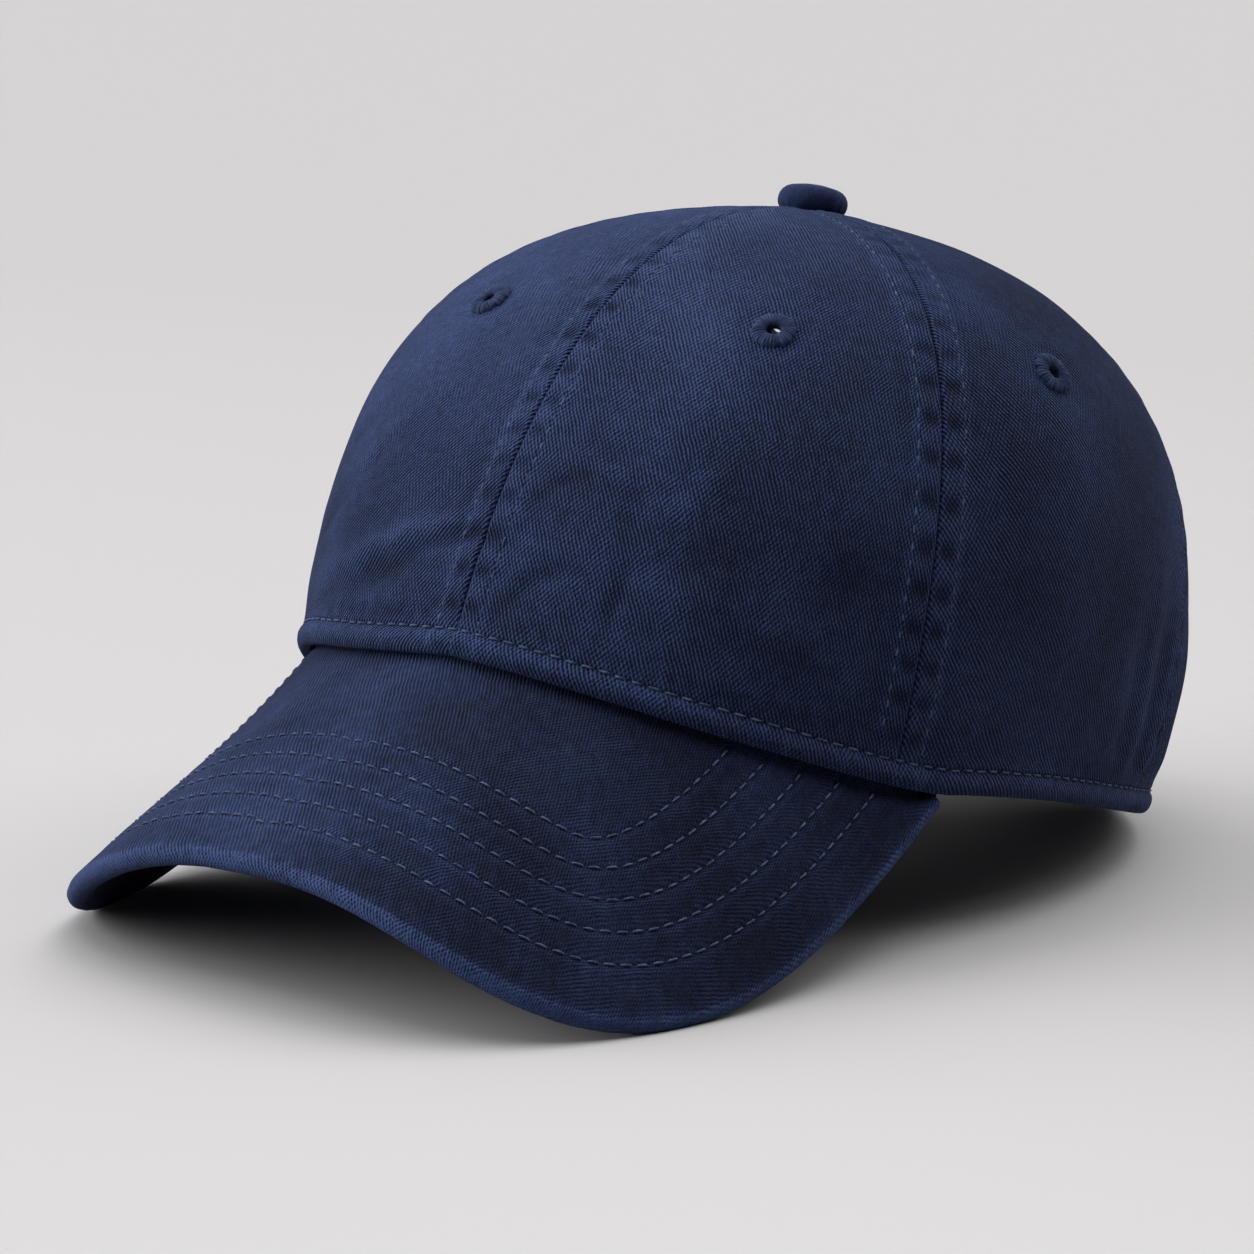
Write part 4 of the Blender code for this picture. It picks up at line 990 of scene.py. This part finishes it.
def strap_tab():
    start = BAR_ANGLE - 1.7 / STRAP_RADIUS
    angles = np.linspace(TAB_END, start, 60)
    outer = STRAP_RADIUS + TAB_LIFT
    half = np.full(len(angles), TAB_HALF)
    ribbon("cloth_strap_tab", angles, half, outer, TAB_THICK, "cap", "strap_tab", TAB_ROW)
    bar = arc(BAR_ANGLE, BAR_ARC, STRAP_MID)
    a = np.arange(40) / 40 * 2 * pi
    zs = np.concatenate([[-7.6, -7.9], np.linspace(-8, 8, 15), [7.9, 7.6]])
    rr = np.concatenate([[1.3, 1.75], np.full(15, 2.0), [1.75, 1.3]])
    radial = np.array([sin(BAR_ANGLE), cos(BAR_ANGLE), 0])
    tangent = np.array([cos(BAR_ANGLE), -sin(BAR_ANGLE), 0])
    round_bar = np.cos(a)[:, None, None] * radial + np.sin(a)[:, None, None] * tangent
    loop = bar + rr[None, :, None] * round_bar + np.array([0, 0, 1]) * zs[None, :, None]
    uv = np.stack(np.broadcast_arrays(a[:, None] * 2.0, zs[None]), -1)
    add_grid("cloth_tab_loop", loop, TWILL_TRIM, uv, 0.3 + 0 * uv[..., 0], wrap=True)
    stitches("tab_stitching", arc_rows(angles, outer, TAB_ROW))


arch_binding()
strap()
strap_tab()
BOARD = cloth("board_plastic", 0, pitch=3.0, base=(0.45, 0.46, 0.45), plain=True, contrast=0.2, sheen=0.0,
              bump=0.05, fade=0.2)
FINISHES = {"buckle_frame": BRASS, "buckle_lever": BRASS, "buckle_pin": BRASS, "button_core": STEEL,
            "button_washer": STEEL, "visor_board": BOARD}
for node, finish in FINISHES.items():
    frame["nodes"][node].data.materials.clear()
    frame["nodes"][node].data.materials.append(finish)


# Floor, light and camera
def floor():
    """Pale floor with painted light, a little lighter toward the visor; the light it throws back is less than
    it looks.
    """
    mesh = bpy.data.meshes.new("floor")
    mesh.from_pydata([(-12, -12, 0), (12, -12, 0), (12, 12, 0), (-12, 12, 0)], [], [(0, 1, 2, 3)])
    obj = bpy.data.objects.new("floor", mesh)
    bpy.context.scene.collection.objects.link(obj)
    material = bpy.data.materials.new("pale_floor")
    shader, add, link, math = node_tools(material)
    where = add("ShaderNodeTexCoord").outputs["Object"]
    # Painted light: the floor's colour rises toward the visor, unevenly.
    patch = add("ShaderNodeTexNoise", Scale=1.2, Detail=2.0)
    link(where, patch.inputs["Vector"])
    near = add("ShaderNodeVectorMath", operation="DOT_PRODUCT")
    link(where, near.inputs[0])
    near.inputs[1].default_value = (0.15, -0.85, 0)
    share = math("ADD", near.outputs["Value"], math("MULTIPLY", patch.outputs["Fac"], 0.15))
    ramp = add("ShaderNodeValToRGB")
    ramp.color_ramp.elements[0].color = (0.632, 0.616, 0.620, 1)
    ramp.color_ramp.elements[1].color = (0.706, 0.690, 0.695, 1)
    link(math("ADD", share, 0.72, clamp=True), ramp.inputs["Fac"])
    path = add("ShaderNodeLightPath")
    seen = math("MAXIMUM", path.outputs["Is Camera Ray"], path.outputs["Is Glossy Ray"])
    shown = add("ShaderNodeMix", data_type="RGBA")
    shown.inputs[6].default_value = (0.34, 0.335, 0.337, 1)
    link(math("MAXIMUM", seen, path.outputs["Is Transmission Ray"]), shown.inputs["Factor"])
    link(ramp.outputs["Color"], shown.inputs[7])
    link(shown.outputs[2], shader.inputs["Base Color"])
    shader.inputs["Roughness"].default_value = 0.9
    shader.inputs["Specular IOR Level"].default_value = 0.1
    mesh.materials.append(material)


floor()
scene = bpy.context.scene
scene.view_settings.view_transform = "Standard"
sky = bpy.data.worlds.new("studio")
scene.world = sky
sky.use_nodes = True
sky.node_tree.nodes["Background"].inputs["Color"].default_value = (0.95, 0.97, 1.0, 1)
sky.node_tree.nodes["Background"].inputs["Strength"].default_value = 0.01


SOFTNESS = radians(60)
SUNS = {"low_left": ((-0.75, -0.58, 0.32), 2.0), "left": ((-0.90, -0.05, 0.43), 0.9),
        "top": ((0, 0, 1), 1.25), "high_back": ((0.20, 0.50, 0.84), 0.75), "back": ((0.15, 0.80, 0.58), 0.7)}
for sun_name, (toward, strength) in SUNS.items():
    lamp = bpy.data.lights.new(sun_name, "SUN")
    lamp.energy = strength
    lamp.angle = SOFTNESS
    sun = bpy.data.objects.new(sun_name, lamp)
    sun.rotation_euler = Vector(toward).to_track_quat("Z", "Y").to_euler()
    scene.collection.objects.link(sun)

# The camera's place, in metres, and its turn, fitted to the photograph
AIM, DISTANCE, ASIDE, BELOW = Vector((0, 0, 0.06)), 0.8463067, 0.009428, 0.007226
azimuth, elevation, roll = radians(37.7107), radians(10.9717), radians(0.6445)
back = Vector((sin(azimuth) * cos(elevation), -cos(azimuth) * cos(elevation), sin(elevation)))
level = Vector((cos(azimuth), sin(azimuth), 0))
upright = back.cross(level)
across = level * cos(roll) + upright * sin(roll)
upward = upright * cos(roll) - level * sin(roll)
eye = AIM + back * DISTANCE - across * ASIDE - upward * BELOW
lens = bpy.data.cameras.new("camera")
lens.sensor_width = 36.0
lens.lens = 115.078
camera = bpy.data.objects.new("camera", lens)
camera.matrix_world = Matrix((across, upward, back)).transposed().to_4x4()
camera.location = eye
scene.collection.objects.link(camera)
scene.camera = camera
